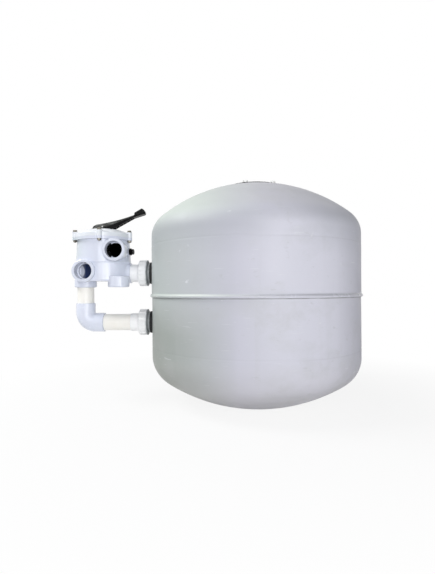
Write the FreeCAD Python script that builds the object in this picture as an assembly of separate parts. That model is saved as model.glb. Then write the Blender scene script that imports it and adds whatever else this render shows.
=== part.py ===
import FreeCAD, Part
import math
import os

# Pool sand filter with a side-mounted multiport valve. Millimetres, +Z up.
# The origin is the middle of the flat foot, on the tank's axis. The valve is on the -X side.
# Its handle, pump port and return port show from the front, which is -Y.

# Tank: two domed halves bonded at a beaded seam
tank_radius = 381.0
tank_wall = 7.0
lower_half_step = 1.5
seam_height = 378.0
seam_bead_stand = 5.5
seam_bead_width = 12.0
seam_lap = 26.0
bond_line = 0.1
top_straight = 219.0
top_knuckle = 87.0
top_crown = 549.0
bottom_sink = 22.162
bottom_knuckle = 104.0
bottom_crown = 597.0
ring_mark_rise = 0.8
ring_mark_width = 5.0
ring_mark_from_seam = 178.0

# Bolted closure on the top of the tank
closure_land_radius = 122.0
closure_land_sink = 1.9
closure_mouth_radius = 85.0
closure_boss_depth = 30.0
closure_lid_radius = 110.0
closure_lid_rim = 8.0
closure_spigot_depth = 10.0
closure_rib_thick = 4.0
closure_rib_rise = 3.0
closure_rib_stop = 22.0
closure_bolt_circle = 100.0
closure_bolt_count = 6
closure_bolt_turn = -52.0
closure_bolt_radius = 5.0
closure_bolt_grip = 24.0
bolt_spare = 2.0
closure_gasket_inner = 87.0
closure_gasket_width = 7.0
closure_gasket_thick = 2.5
bleed_boss_radius = 20.0
bleed_boss_rise = 8.0
bleed_shank_radius = 6.0
bleed_head_radius = 12.0
bleed_head_height = 9.0
bleed_flute_radius = 2.5
bleed_flute_count = 8
bleed_ring_wire = 1.5

# Pipework, all for two-inch pipe
pipe_radius = 30.15
pipe_bore = 26.2
socket_clearance = 0.1
socket_wall = 5.0
upper_port_rise = 89.0
port_spacing = 183.0

# Tank fittings and unions, measured along the port axis away from the tank
gasket_seat = 8.0
gasket_radius = 40.5
bulkhead_collar = 4.0
bulkhead_neck = 4.0
bulkhead_neck_radius = 36.0
bulkhead_disc_radius = 48.5
bulkhead_disc_thick = 3.5
bulkhead_disc_edge = 1.5
bulkhead_thread_radius = 41.0
bulkhead_thread_length = 18.0
bulkhead_stub_length = 52.0
locknut_radius = 45.0
locknut_thick = 13.0
union_nut_radius = 46.0
union_nut_rib = 2.2
union_nut_rib_count = 12
union_nut_lip = 6.5
tail_collar_thick = 6.0
tail_radius = 33.0
tail_length = 30.0
tail_socket_depth = 34.0
union_ring_wire = 1.8
thread_clearance = 0.3

# Pipe loop from the valve's bottom port to the lower union
elbow_reach = 71.0
elbow_socket_depth = 33.0
elbow_radius = 35.0

# Pipes and collector inside the tank
bell_length = 24.0
inner_elbow_reach = 62.0
inner_socket_depth = 24.0
diffuser_drop = 74.0
diffuser_radius = 74.0
diffuser_plate = 4.0
diffuser_gap = 30.0
diffuser_post_count = 6
diffuser_post_radius = 5.0
hub_radius = 62.0
hub_height = 48.0
hub_floor = 76.0
hub_wall = 5.0
lateral_count = 8
lateral_radius = 15.0
lateral_wall = 2.5
lateral_length = 225.0
lateral_slots = 9
lateral_slot_width = 2.0
lateral_plain_start = 24.0
lateral_plain_end = 16.0

# Drain through the lower half, on the side away from the front
drain_height = 190.0
drain_tube_radius = 14.0
drain_bore = 9.0
drain_flange_radius = 24.0
drain_flange_thick = 6.0
drain_gasket_thick = 3.0
drain_outside = 24.0
drain_inside = 22.0
drain_nut_thick = 9.0
drain_cap_radius = 19.0
drain_cap_length = 20.0
drain_cap_top = 4.0
drain_seal_thick = 2.0

# Valve body, its heights set out from the upper port
chamber_radius = 98.0
chamber_drop = 30.0
chamber_edge = 6.0
floor_thick = 8.0
seat_rise = 40.0
seat_thick = 10.0
pot_radius_low = 100.0
pot_radius_high = 95.0
pot_bore = 90.0
pot_height = 90.0
rim_radius = 103.0
rim_height = 10.0
web_thick = 6.0
seat_web = 8.0
seat_hub_radius = 30.0
seat_ring_radius = 82.0
sector_start = -22.0
sector_angle = 60.0
port_radius = 40.3
port_root_radius = 37.3
port_collar_length = 32.0
port_edge = 3.0
port_mouth = 112.0
port_bore = 26.0
port_socket_depth = 34.0
pump_port_side = 63.0
pump_port_rise = 40.0
return_port_side = -44.0
return_port_rise = 36.0
down_port_drop = 22.0
bottom_port_side = -68.0
bottom_socket_depth = 28.0
waste_port_side = 70.0
waste_port_front = 61.5
waste_port_radius = 38.0
waste_port_rise = 18.0
waste_port_roof = 5.0
waste_socket_depth = 18.0
neck_reach = 104.0
neck_radius = 37.0
neck_flare = 8.0
neck_socket_depth = 26.0
plug_angle = -9.0
plug_rise = 39.0
plug_boss_radius = 14.0
plug_boss_reach = 101.0
plug_head_radius = 13.0
plug_head_thick = 4.0
plug_knob_radius = 10.1
plug_knob_thick = 9.0
plug_shank_radius = 6.5
plug_shank_length = 14.0
plug_ring_wire = 1.5

# Valve lid and its bolts
lid_rim_height = 17.0
lid_rim_edge = 5.0
lid_crown_height = 33.0
lid_flat_radius = 47.0
lid_spigot_depth = 7.0
lid_spigot_clearance = 0.3
lid_inner_radius = 78.0
lid_roof = 12.0
lid_boss_radius = 27.0
lid_ring_wire = 2.0
lid_ring_play = 0.05
lid_bolt_circle = 102.5
lid_bolt_count = 5
lid_bolt_turn = 60.5
lid_bolt_radius = 4.0
lid_ear_radius = 10.0
lid_ear_height = 20.0
bolt_hole_clearance = 0.3
bolt_head_height = 5.4
bolt_head_radius = 7.4
bolt_washer_thick = 1.6
bolt_washer_radius = 8.5
bolt_nut_height = 6.0

# Diverter, its spring and its seals
gasket_thick = 4.0
gasket_web = 5.0
diverter_radius = 86.0
diverter_plate = 8.0
diverter_edge = 2.0
diverter_lift_gap = 0.1
hood_height = 24.0
hood_wall = 5.0
hub_shoulder_rise = 38.0
hub_shoulder_radius = 28.0
hub_flare = 6.0
stem_radius = 14.0
stem_clearance = 0.06
stem_ring_wire = 1.3
stem_ring_gap = 12.0
stem_ring_start = 3.0
spring_radius = 20.5
spring_wire = 2.0
spring_turns = 5.0
slip_washer_thick = 1.5
slip_washer_radius = 26.0
washer_clearance = 0.4

# Handle, pinned across the stem. Lengths run from the stem's axis, heights from the handle's flat sole.
handle_swing = 12.0
handle_washer_thick = 2.0
handle_washer_radius = 45.0
pin_height = 8.5
pin_radius = 3.0
pin_length = 36.0
pin_clearance = 0.05
pin_fit = 0.02
tang_thick = 16.0
tang_top = 6.0
tang_drop = 3.0
tang_clearance = 0.4
fork_gap = 0.8
handle_heel = 38.0
handle_toe = 40.0
handle_width = 46.0
handle_waist = 24.0
handle_crest = 18.5
handle_crest_back = 24.0
handle_ridge = 10.0
arm_shoulder = 18.0
arm_end = 118.0
arm_end_under = 43.5
arm_end_over = 54.5
grip_width = 30.0
grip_step = 5.5
grip_reach = 158.0
grip_nose = 56.5
grip_top = 76.0
grip_back = 13.0
arm_sag = 5.0
handle_skin = 4.0
handle_rib_count = 6
handle_rib_thick = 2.4

# Places worked out from the sizes above
upper_port_height = seam_height + upper_port_rise
lower_port_height = upper_port_height - port_spacing
lower_radius = tank_radius - lower_half_step
gasket_face = tank_radius + gasket_seat
disc_face = gasket_face + bulkhead_collar + bulkhead_neck + bulkhead_disc_thick
union_face = disc_face + bulkhead_thread_length
tail_end = union_face + tail_collar_thick + union_nut_lip + tail_length
valve_offset = tail_end + neck_reach
chamber_floor = upper_port_height - chamber_drop
seat_top = upper_port_height + seat_rise
pot_top = seat_top + pot_height
pump_port_height = seat_top + pump_port_rise
return_port_height = chamber_floor + return_port_rise
down_port_foot = chamber_floor - down_port_drop
plug_height = seat_top + plug_rise
hub_shoulder_height = seat_top + hub_shoulder_rise
lid_top = pot_top + lid_crown_height
lid_ear_top = pot_top + lid_ear_height
handle_floor = lid_top + handle_washer_thick
pin_level = handle_floor + pin_height
diverter_floor = seat_top + gasket_thick + diverter_lift_gap
loop_side = bottom_port_side - valve_offset

X = FreeCAD.Vector(1, 0, 0)
Y = FreeCAD.Vector(0, 1, 0)
Z = FreeCAD.Vector(0, 0, 1)


def at(x, y, z):
    return FreeCAD.Vector(x, y, z)


def rod(radius, low, high, x=0.0, y=0.0):
    """An upright solid cylinder between two heights."""
    return Part.makeCylinder(radius, high - low, at(x, y, low), Z)


def ring(outer, inner, low, high, x=0.0, y=0.0):
    """An upright tube between two heights."""
    return rod(outer, low, high, x, y).cut(rod(inner, low - 1, high + 1, x, y))


def slab(x0, x1, y0, y1, z0, z1):
    """A box between two corners."""
    return Part.makeBox(x1 - x0, y1 - y0, z1 - z0, at(x0, y0, z0))


def path(start, *steps):
    """Edges in the plane of radius and height. A step is an end point, or an arc's middle and end points."""
    edges = []
    here = at(start[0], 0, start[1])
    for step in steps:
        if len(step) == 2:
            end = at(step[0], 0, step[1])
            edges.append(Part.makeLine(here, end))
        else:
            middle = at(step[0], 0, step[1])
            end = at(step[2], 0, step[3])
            edges.append(Part.Arc(here, middle, end).toShape())
        here = end
    return edges


def turned(start, *steps):
    """The solid that a closed outline of radius and height sweeps round the Z axis."""
    edges = path(start, *steps, start)
    return Part.Face(Part.Wire(edges)).revolve(at(0, 0, 0), Z, 360)


def wire_section(radius, wire, height):
    """Corners of a wire's section, drawn with eight sides inside the round of the wire."""
    corners = []
    for index in range(8):
        angle = math.radians(45 * index + 22.5)
        corners.append((radius + wire * math.cos(angle), height + wire * math.sin(angle)))
    return corners


def seal_ring(radius, wire, height):
    """A ring of wire, flat about the Z axis."""
    return turned(*wire_section(radius, wire, height))


def aimed(shape, origin, direction):
    """Turns a shape made about +Z at the origin so that it starts at a point and runs along a direction."""
    placed = shape.copy()
    placed.Placement = FreeCAD.Placement(origin, FreeCAD.Rotation(Z, direction))
    return placed


def moved(shape, x=0.0, y=0.0, z=0.0):
    copy = shape.copy()
    copy.translate(at(x, y, z))
    return copy


def around(shape, count, start=0.0):
    """Equally spaced copies of a shape about the Z axis."""
    copies = []
    for index in range(count):
        copy = shape.copy()
        copy.rotate(at(0, 0, 0), Z, start + index * 360.0 / count)
        copies.append(copy)
    return copies


def hexagon(circle_radius, height):
    """A six-sided prism on the XY plane, its corners on a circle."""
    corners = []
    for index in range(7):
        angle = math.radians(60 * index)
        corners.append(at(circle_radius * math.cos(angle), circle_radius * math.sin(angle), 0))
    return Part.Face(Part.makePolygon(corners)).extrude(Z * height)


def wedge(start, end, half_wall, reach, low, high):
    """An upright prism between two angles about the Z axis, kept half a wall away from each."""
    first = math.radians(start)
    last = math.radians(end)
    middle = (first + last) / 2
    apex = half_wall / math.sin((last - first) / 2)
    tip = at(apex * math.cos(middle), apex * math.sin(middle), low)
    sides = [tip]
    for angle in (first, middle, last):
        sides.append(tip + at(reach * math.cos(angle), reach * math.sin(angle), 0))
    sides.append(tip)
    return Part.Face(Part.makePolygon(sides)).extrude(Z * (high - low))


def sector(inner, outer, start, end, wall, low, high):
    """A piece of an upright ring between two angles, with walls of even thickness left at its sides."""
    return ring(outer, inner, low, high).common(wedge(start, end, wall / 2, 3 * outer, low, high))


def dome_steps(shell, knuckle, crown, tangent, end_radius, sense):
    """Two arcs, knuckle and crown, from the straight wall to a radius near the axis. Sense 1 is up, -1 down."""
    inset = shell - knuckle
    drop = math.sqrt((crown - knuckle) ** 2 - inset ** 2)
    lean = math.atan2(inset, drop)
    half = (math.pi / 2 + lean) / 2
    end = math.asin(end_radius / crown)
    mid = (lean + end) / 2

    def knuckle_point(angle):
        return (inset + knuckle * math.sin(angle), tangent + sense * knuckle * math.cos(angle))

    def crown_point(angle):
        return (crown * math.sin(angle), tangent + sense * (crown * math.cos(angle) - drop))

    return [
        knuckle_point(half) + knuckle_point(lean),
        crown_point(mid) + crown_point(end),
    ]


def closure_land():
    """Height of the flat land on the top crown. It is sunk a little below the crown at its own edge."""
    inset = tank_radius - top_knuckle
    drop = math.sqrt((top_crown - top_knuckle) ** 2 - inset ** 2)
    edge = math.sqrt(top_crown ** 2 - closure_land_radius ** 2)
    return seam_height + top_straight + edge - drop - closure_land_sink


def tank_upper_shell():
    """Upper half: straight wall, knuckle and crown, a flat land for the closure and the seam bead."""
    top = seam_height + top_straight
    outside = dome_steps(tank_radius, top_knuckle, top_crown, top, closure_mouth_radius, 1)
    inner_radius = tank_radius - tank_wall
    inner_knuckle = top_knuckle - tank_wall
    inner_crown = top_crown - tank_wall
    inside = dome_steps(inner_radius, inner_knuckle, inner_crown, top, closure_mouth_radius, 1)
    bead = tank_radius + seam_bead_stand
    crest = bead - 0.4 * seam_bead_stand
    mark = seam_height + ring_mark_from_seam
    shell = turned(
        (inner_radius, seam_height),
        (crest, seam_height),
        (bead, seam_height + 0.35 * seam_bead_width, crest, seam_height + 0.7 * seam_bead_width),
        (tank_radius, seam_height + seam_bead_width),
        (tank_radius, mark),
        (tank_radius - ring_mark_rise, mark + ring_mark_width),
        (tank_radius, mark + 2 * ring_mark_width),
        (tank_radius, top),
        outside[0],
        outside[1],
        inside[1][2:],
        inside[1][:2] + inside[0][2:],
        inside[0][:2] + (inner_radius, top),
    )
    land = closure_land()
    shell = shell.fuse(ring(closure_land_radius, closure_mouth_radius, land - closure_boss_depth, land))
    shell = shell.cut(rod(closure_land_radius, land, land + closure_boss_depth))
    hole = rod(closure_bolt_radius + bond_line, land - closure_bolt_grip, land + 1, closure_bolt_circle)
    for cutter in around(hole, closure_bolt_count, closure_bolt_turn):
        shell = shell.cut(cutter)
    return shell.cut(port_hole(upper_port_height)).removeSplitter()


def tank_lower_shell():
    """Lower half: straight wall, knuckle and crown cut off flat as a foot, and a lap inside the upper half."""
    tangent = bottom_tangent()
    foot = math.sqrt(bottom_crown ** 2 - (bottom_crown - bottom_sink) ** 2)
    outside = dome_steps(lower_radius, bottom_knuckle, bottom_crown, tangent, foot, -1)
    inner_radius = lower_radius - tank_wall
    inner_knuckle = bottom_knuckle - tank_wall
    inner_crown = bottom_crown - tank_wall
    inner_foot = math.sqrt(inner_crown ** 2 - (bottom_crown - bottom_sink - tank_wall) ** 2)
    inside = dome_steps(inner_radius, inner_knuckle, inner_crown, tangent, inner_foot, -1)
    lap_outer = tank_radius - tank_wall - bond_line
    lap_inner = lap_outer - tank_wall
    mark = seam_height - ring_mark_from_seam
    shell = turned(
        (0, 0),
        (foot, 0),
        outside[1][:2] + outside[0][2:],
        outside[0][:2] + (lower_radius, tangent),
        (lower_radius, mark - ring_mark_width),
        (lower_radius - ring_mark_rise, mark),
        (lower_radius, mark + ring_mark_width),
        (lower_radius, seam_height),
        (lap_outer, seam_height),
        (lap_outer, seam_height + seam_lap),
        (lap_inner, seam_height + seam_lap),
        (lap_inner, seam_height - seam_lap),
        (inner_radius, seam_height - 1.5 * seam_lap),
        (inner_radius, tangent),
        inside[0],
        inside[1][:2] + (inner_foot, tank_wall),
        (0, tank_wall),
    )
    shell = shell.cut(port_hole(lower_port_height))
    start = at(0, lower_radius - 1.5 * tank_wall, drain_height)
    drain = Part.makeCylinder(drain_tube_radius + thread_clearance, 2 * tank_wall, start, Y)
    return shell.cut(drain).removeSplitter()


def bottom_tangent():
    """Height where the lower wall meets its knuckle. The crown's own lowest point lies under the floor."""
    inset = lower_radius - bottom_knuckle
    drop = math.sqrt((bottom_crown - bottom_knuckle) ** 2 - inset ** 2)
    return bottom_crown - drop - bottom_sink


def port_hole(height):
    start = at(3 * tank_wall - tank_radius, 0, height)
    return Part.makeCylinder(pipe_radius + thread_clearance, 4 * tank_wall, start, -X)


def closure_lid():
    """Round lid with a spigot into the mouth, a groove for its gasket and a boss for the bleed plug."""
    base = closure_land()
    top = base + closure_lid_rim
    spigot = closure_mouth_radius - thread_clearance
    groove = closure_gasket_inner + closure_gasket_width
    boss_top = top + bleed_boss_rise
    foot = base - closure_spigot_depth
    bore = bleed_shank_radius + thread_clearance
    lid = turned(
        (bore, foot),
        (spigot - 2, foot),
        (spigot, foot + 2),
        (spigot, base + closure_gasket_thick),
        (groove, base + closure_gasket_thick),
        (groove, base),
        (closure_lid_radius, base),
        (closure_lid_radius, top - 2),
        (closure_lid_radius - 2, top),
        (2.5 * bleed_boss_radius, top),
        (1.2 * bleed_boss_radius, top + 0.25 * bleed_boss_rise),
        (bleed_boss_radius, boss_top),
        (bore, boss_top),
    )
    half = closure_rib_thick / 2
    reach = closure_lid_radius - closure_rib_stop
    rib = slab(bleed_boss_radius - half, reach, -half, half, top - 1, top + closure_rib_rise)
    for piece in around(rib, closure_bolt_count, closure_bolt_turn + 180.0 / closure_bolt_count):
        lid = lid.fuse(piece)
    hole = rod(closure_bolt_radius + bolt_hole_clearance, base - 1, top + 1, closure_bolt_circle)
    for cutter in around(hole, closure_bolt_count, closure_bolt_turn):
        lid = lid.cut(cutter)
    return lid.removeSplitter()


def closure_gasket():
    outer = closure_gasket_inner + closure_gasket_width
    return ring(outer, closure_gasket_inner, closure_land(), closure_land() + closure_gasket_thick)


def closure_washers():
    top = closure_land() + closure_lid_rim
    hole = closure_bolt_radius + bond_line
    washer = ring(2 * closure_bolt_radius, hole, top, top + bolt_washer_thick, closure_bolt_circle)
    return Part.makeCompound(around(washer, closure_bolt_count, closure_bolt_turn))


def closure_bolts():
    seat = closure_land() + closure_lid_rim + bolt_washer_thick
    head = moved(hexagon(1.75 * closure_bolt_radius, 1.2 * closure_bolt_radius), closure_bolt_circle, 0, seat)
    end = closure_land() - closure_bolt_grip + bolt_spare
    shank = rod(closure_bolt_radius, end, seat, closure_bolt_circle)
    return Part.makeCompound(around(head.fuse(shank), closure_bolt_count, closure_bolt_turn))


def bleed_seat():
    return closure_land() + closure_lid_rim + bleed_boss_rise


def air_bleed_plug():
    """Screw plug that lets air out of the tank: a shank in the lid's boss and a gripped head."""
    seat = bleed_seat() + 2 * bleed_ring_wire
    shank = rod(bleed_shank_radius, closure_land() - closure_spigot_depth, seat)
    head = rod(bleed_head_radius, seat, seat + bleed_head_height)
    flute = rod(bleed_flute_radius, seat - 1, seat + bleed_head_height + 1, bleed_head_radius + 1)
    for cutter in around(flute, bleed_flute_count):
        head = head.cut(cutter)
    return shank.fuse(head).removeSplitter()


def air_bleed_o_ring():
    radius = bleed_shank_radius + bleed_ring_wire + bond_line
    return seal_ring(radius, bleed_ring_wire, bleed_seat() + bleed_ring_wire)


def wall_radius(height):
    """Outer radius of the tank's straight wall at a height."""
    return tank_radius if height > seam_height else lower_radius


def saddle(shape, radius):
    """Cuts a piece that seats on the tank's curved wall back to that wall."""
    return shape.cut(rod(radius + bond_line, 0, 2 * seam_height))


def bulkhead_gasket(height):
    """Rubber ring between the tank's wall and the fitting's collar, shaped to the wall."""
    tube = Part.makeCylinder(gasket_radius, gasket_face, at(0, 0, height), -X)
    bore = Part.makeCylinder(pipe_radius + thread_clearance, gasket_face + 1, at(0, 0, height), -X)
    return saddle(tube.cut(bore), wall_radius(height))


def bulkhead(height):
    """Threaded tank fitting: collar, neck, disc and male union thread outside, a long stub inside."""
    neck_end = gasket_face + bulkhead_collar + bulkhead_neck
    stub_end = tank_radius - bulkhead_stub_length
    groove = pipe_radius + 2.4 * union_ring_wire
    body = turned(
        (pipe_bore, stub_end),
        (pipe_radius, stub_end),
        (pipe_radius, gasket_face),
        (gasket_radius - 1, gasket_face),
        (gasket_radius - 1, gasket_face + bulkhead_collar),
        (bulkhead_neck_radius, gasket_face + bulkhead_collar),
        (bulkhead_neck_radius, neck_end),
        (bulkhead_disc_radius - 2 * bulkhead_disc_edge, neck_end),
        (bulkhead_disc_radius, neck_end + bulkhead_disc_edge),
        (bulkhead_disc_radius, disc_face),
        (bulkhead_thread_radius, disc_face),
        (bulkhead_thread_radius, union_face - 1),
        (bulkhead_thread_radius - 1, union_face),
        (groove, union_face),
        (groove, union_face - 2 * union_ring_wire),
        (pipe_radius, union_face - 2 * union_ring_wire),
        (pipe_radius, union_face),
        (pipe_bore, union_face),
    )
    return aimed(body, at(0, 0, height), -X)


def union_o_ring(height):
    middle = pipe_radius + 1.2 * union_ring_wire
    seal = seal_ring(middle, union_ring_wire - bond_line, union_face - union_ring_wire)
    return aimed(seal, at(0, 0, height), -X)


def bulkhead_locknut(height):
    """Nut on the stub inside the tank. Its flat face bears on the curved wall at its two edges."""
    inner_wall = wall_radius(height) - tank_wall
    face = math.sqrt(inner_wall ** 2 - locknut_radius ** 2) - bond_line
    nut = hexagon(locknut_radius, locknut_thick)
    nut = nut.cut(rod(pipe_radius + bond_line, -1, locknut_thick + 1))
    return aimed(nut, at(-face, 0, height), X)


def union_nut(height):
    """Hand nut with broad grip ribs. Its lip pulls the tailpiece's collar on to the o-ring."""
    lip_end = union_face + tail_collar_thick + union_nut_lip
    inner = bulkhead_thread_radius + thread_clearance
    lip_bore = tail_radius + thread_clearance
    nut = turned(
        (inner, disc_face),
        (union_nut_radius - 2, disc_face),
        (union_nut_radius, disc_face + 3),
        (union_nut_radius, lip_end - 4),
        (union_nut_radius - 3.5, lip_end),
        (lip_bore, lip_end),
        (lip_bore, union_face + tail_collar_thick),
        (inner, union_face + tail_collar_thick),
    )
    reach = union_nut_radius + union_nut_rib
    width = 0.56 * math.pi * union_nut_radius / union_nut_rib_count
    rib = slab(inner + 1, reach, -width, width, disc_face + 3, lip_end - 4)
    rib = rib.common(rod(reach, disc_face, lip_end))
    for piece in around(rib, union_nut_rib_count):
        nut = nut.fuse(piece)
    return aimed(nut.removeSplitter(), at(0, 0, height), -X)


def upper_union_tailpiece():
    """Tailpiece whose spigot is bonded into the valve's top port."""
    collar = bulkhead_thread_radius
    spigot_end = tail_end + neck_socket_depth - 1
    body = turned(
        (pipe_bore, union_face),
        (collar, union_face),
        (collar, union_face + tail_collar_thick),
        (tail_radius, union_face + tail_collar_thick),
        (tail_radius, tail_end),
        (pipe_radius, tail_end),
        (pipe_radius, spigot_end),
        (pipe_bore, spigot_end),
    )
    return aimed(body, at(0, 0, upper_port_height), -X)


def lower_union_tailpiece():
    """Tailpiece with a socket for the horizontal pipe."""
    collar = bulkhead_thread_radius
    socket = pipe_radius + socket_clearance
    body = turned(
        (pipe_bore, union_face),
        (collar, union_face),
        (collar, union_face + tail_collar_thick),
        (tail_radius, union_face + tail_collar_thick),
        (tail_radius, tail_end),
        (socket, tail_end),
        (socket, tail_end - tail_socket_depth),
        (pipe_bore, tail_end - tail_socket_depth),
    )
    return aimed(body, at(0, 0, lower_port_height), -X)


def horizontal_pipe():
    start = tail_end - tail_socket_depth
    end = -loop_side - elbow_reach + elbow_socket_depth
    tube = ring(pipe_radius, pipe_bore, start, end)
    return aimed(tube, at(0, 0, lower_port_height), -X)


def vertical_pipe():
    low = lower_port_height + elbow_reach - elbow_socket_depth
    high = down_port_foot + bottom_socket_depth
    return moved(ring(pipe_radius, pipe_bore, low, high), loop_side)


def elbow(reach, depth, outer):
    """Ninety-degree elbow with a socket up and a socket along +X, its corner at the origin."""
    bend = reach - depth
    low = at(0, 0, bend)
    middle = bend * (1 - math.sqrt(0.5))
    spine = Part.Wire(Part.Arc(low, at(middle, 0, middle), at(bend, 0, 0)).toShape())

    def bent(radius):
        circle = Part.Wire(Part.makeCircle(radius, low, Z))
        return spine.makePipeShell([circle], True, True)

    body = bent(outer)
    body = body.fuse(rod(outer, bend, reach))
    body = body.fuse(Part.makeCylinder(outer, depth, at(bend, 0, 0), X))
    body = body.cut(bent(pipe_bore))
    socket = pipe_radius + socket_clearance
    body = body.cut(rod(socket, bend, reach + 1))
    body = body.cut(Part.makeCylinder(socket, depth + 1, at(bend, 0, 0), X))
    return body.removeSplitter()


def pipe_elbow():
    return moved(elbow(elbow_reach, elbow_socket_depth, elbow_radius), loop_side, 0, lower_port_height)


def belled_pipe(height):
    """Pipe inside the tank, belled over the fitting's stub and running to the elbow on the axis."""
    stub_end = tank_radius - bulkhead_stub_length
    socket = pipe_radius + socket_clearance
    bell = socket + socket_wall
    end = inner_elbow_reach - inner_socket_depth
    body = turned(
        (pipe_bore, end),
        (pipe_radius, end),
        (pipe_radius, stub_end - 8),
        (bell, stub_end - 2),
        (bell, stub_end + bell_length),
        (socket, stub_end + bell_length),
        (socket, stub_end),
        (pipe_bore, stub_end),
    )
    return aimed(body, at(0, 0, height), -X)


def inner_elbow(height, upward):
    """Elbow on the tank's axis: one socket towards the port, the other up or down."""
    body = elbow(inner_elbow_reach, inner_socket_depth, pipe_radius + socket_wall)
    body.rotate(at(0, 0, 0), Z, 180)
    if not upward:
        body.rotate(at(0, 0, 0), X, 180)
    return moved(body, 0, 0, height)


def diffuser_height():
    return closure_land() - diffuser_drop


def riser_pipe():
    low = upper_port_height + inner_elbow_reach - inner_socket_depth
    return ring(pipe_radius, pipe_bore, low, diffuser_height() + inner_socket_depth / 2)


def inlet_diffuser():
    """Cap on the riser that spreads the water sideways: a socket, a lower plate, posts and a top plate."""
    base = diffuser_height()
    socket = pipe_radius + socket_clearance
    gap_floor = base + inner_socket_depth
    lower = turned(
        (socket, base),
        (socket + socket_wall, base),
        (socket + socket_wall, gap_floor - diffuser_plate),
        (diffuser_radius, gap_floor - diffuser_plate),
        (diffuser_radius, gap_floor),
        (pipe_bore, gap_floor),
        (pipe_bore, base + inner_socket_depth / 2),
        (socket, base + inner_socket_depth / 2),
    )
    top = rod(diffuser_radius, gap_floor + diffuser_gap, gap_floor + diffuser_gap + diffuser_plate)
    place = diffuser_radius - 2 * diffuser_post_radius
    post = rod(diffuser_post_radius, gap_floor - 1, gap_floor + diffuser_gap + 1, place)
    body = lower.fuse(top)
    for piece in around(post, diffuser_post_count):
        body = body.fuse(piece)
    return body.removeSplitter()


def stand_pipe():
    high = lower_port_height - inner_elbow_reach + inner_socket_depth
    return ring(pipe_radius, pipe_bore, hub_floor + hub_height, high)


def lateral_hub():
    """Round collector that the laterals plug into, with a socket for the stand pipe."""
    top = hub_floor + hub_height
    socket = pipe_radius + socket_clearance
    body = turned(
        (0, hub_floor),
        (hub_radius - 4, hub_floor),
        (hub_radius, hub_floor + 4),
        (hub_radius, top - hub_wall),
        (socket + socket_wall, top),
        (socket + socket_wall, top + inner_socket_depth),
        (socket, top + inner_socket_depth),
        (socket, top),
        (pipe_bore, top),
        (pipe_bore, top - hub_wall),
        (hub_radius - hub_wall, top - 2 * hub_wall),
        (hub_radius - hub_wall, hub_floor + hub_wall),
        (0, hub_floor + hub_wall),
    )
    hole = Part.makeCylinder(lateral_radius + socket_clearance, hub_radius, at(0, 0, lateral_height()), X)
    for cutter in around(hole, lateral_count):
        body = body.cut(cutter)
    return body.removeSplitter()


def lateral_height():
    return hub_floor + hub_height / 2 - 2


def laterals():
    """Slotted collector tubes, closed at the tip, each plugged into the hub."""
    start = hub_radius - hub_wall
    tube = turned(
        (lateral_radius - lateral_wall, 0),
        (lateral_radius, 0),
        (lateral_radius, lateral_length - 4),
        (lateral_radius - 4, lateral_length),
        (0, lateral_length),
        (0, lateral_length - lateral_wall),
        (lateral_radius - lateral_wall, lateral_length - lateral_wall),
    )
    side = 2 * lateral_radius
    pitch = (lateral_length - lateral_plain_start - lateral_plain_end) / lateral_slots
    for index in range(lateral_slots):
        low = lateral_plain_start + index * pitch
        tube = tube.cut(slab(-side, side, -0.25 * side, side, low, low + lateral_slot_width))
    lateral = aimed(tube, at(start, 0, lateral_height()), X)
    return Part.makeCompound(around(lateral, lateral_count))


def drain_face():
    return lower_radius + drain_gasket_thick


def drain_gasket():
    start = at(0, 0, drain_height)
    tube = Part.makeCylinder(drain_flange_radius, drain_face(), start, Y)
    bore = Part.makeCylinder(drain_tube_radius + thread_clearance, drain_face() + 1, start, Y)
    return saddle(tube.cut(bore), lower_radius)


def drain_fitting():
    face = drain_face()
    body = turned(
        (drain_bore, lower_radius - drain_inside),
        (drain_tube_radius, lower_radius - drain_inside),
        (drain_tube_radius, face),
        (drain_flange_radius, face),
        (drain_flange_radius, face + drain_flange_thick),
        (drain_tube_radius, face + drain_flange_thick),
        (drain_tube_radius, face + drain_outside),
        (drain_bore, face + drain_outside),
    )
    return aimed(body, at(0, 0, drain_height), Y)


def drain_locknut():
    inner_wall = lower_radius - tank_wall
    face = math.sqrt(inner_wall ** 2 - drain_flange_radius ** 2) - bond_line
    nut = hexagon(drain_flange_radius, drain_nut_thick)
    nut = nut.cut(rod(drain_tube_radius + bond_line, -1, drain_nut_thick + 1))
    return aimed(nut, at(0, face, drain_height), -Y)


def drain_cap_gasket():
    end = drain_face() + drain_outside
    return aimed(ring(drain_tube_radius, drain_bore, end, end + drain_seal_thick), at(0, 0, drain_height), Y)


def drain_cap():
    """Screw cap over the end of the drain, with a six-sided grip."""
    end = drain_face() + drain_outside + drain_seal_thick
    cap = moved(hexagon(drain_cap_radius, drain_cap_length), 0, 0, end + drain_cap_top - drain_cap_length)
    cap = cap.cut(rod(drain_tube_radius + thread_clearance, end - drain_cap_length, end))
    return aimed(cap, at(0, 0, drain_height), Y)


def lid_bolt_places(shape):
    """A copy of a shape at each of the lid's bolts, about the valve's own axis."""
    return around(shape, lid_bolt_count, lid_bolt_turn)


def ear(low, high):
    """A bolt boss on the rim, joined to the round wall."""
    boss = rod(lid_ear_radius, low, high, lid_bolt_circle)
    return boss.fuse(slab(pot_bore + 4, lid_bolt_circle, -lid_ear_radius, lid_ear_radius, low, high))


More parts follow.
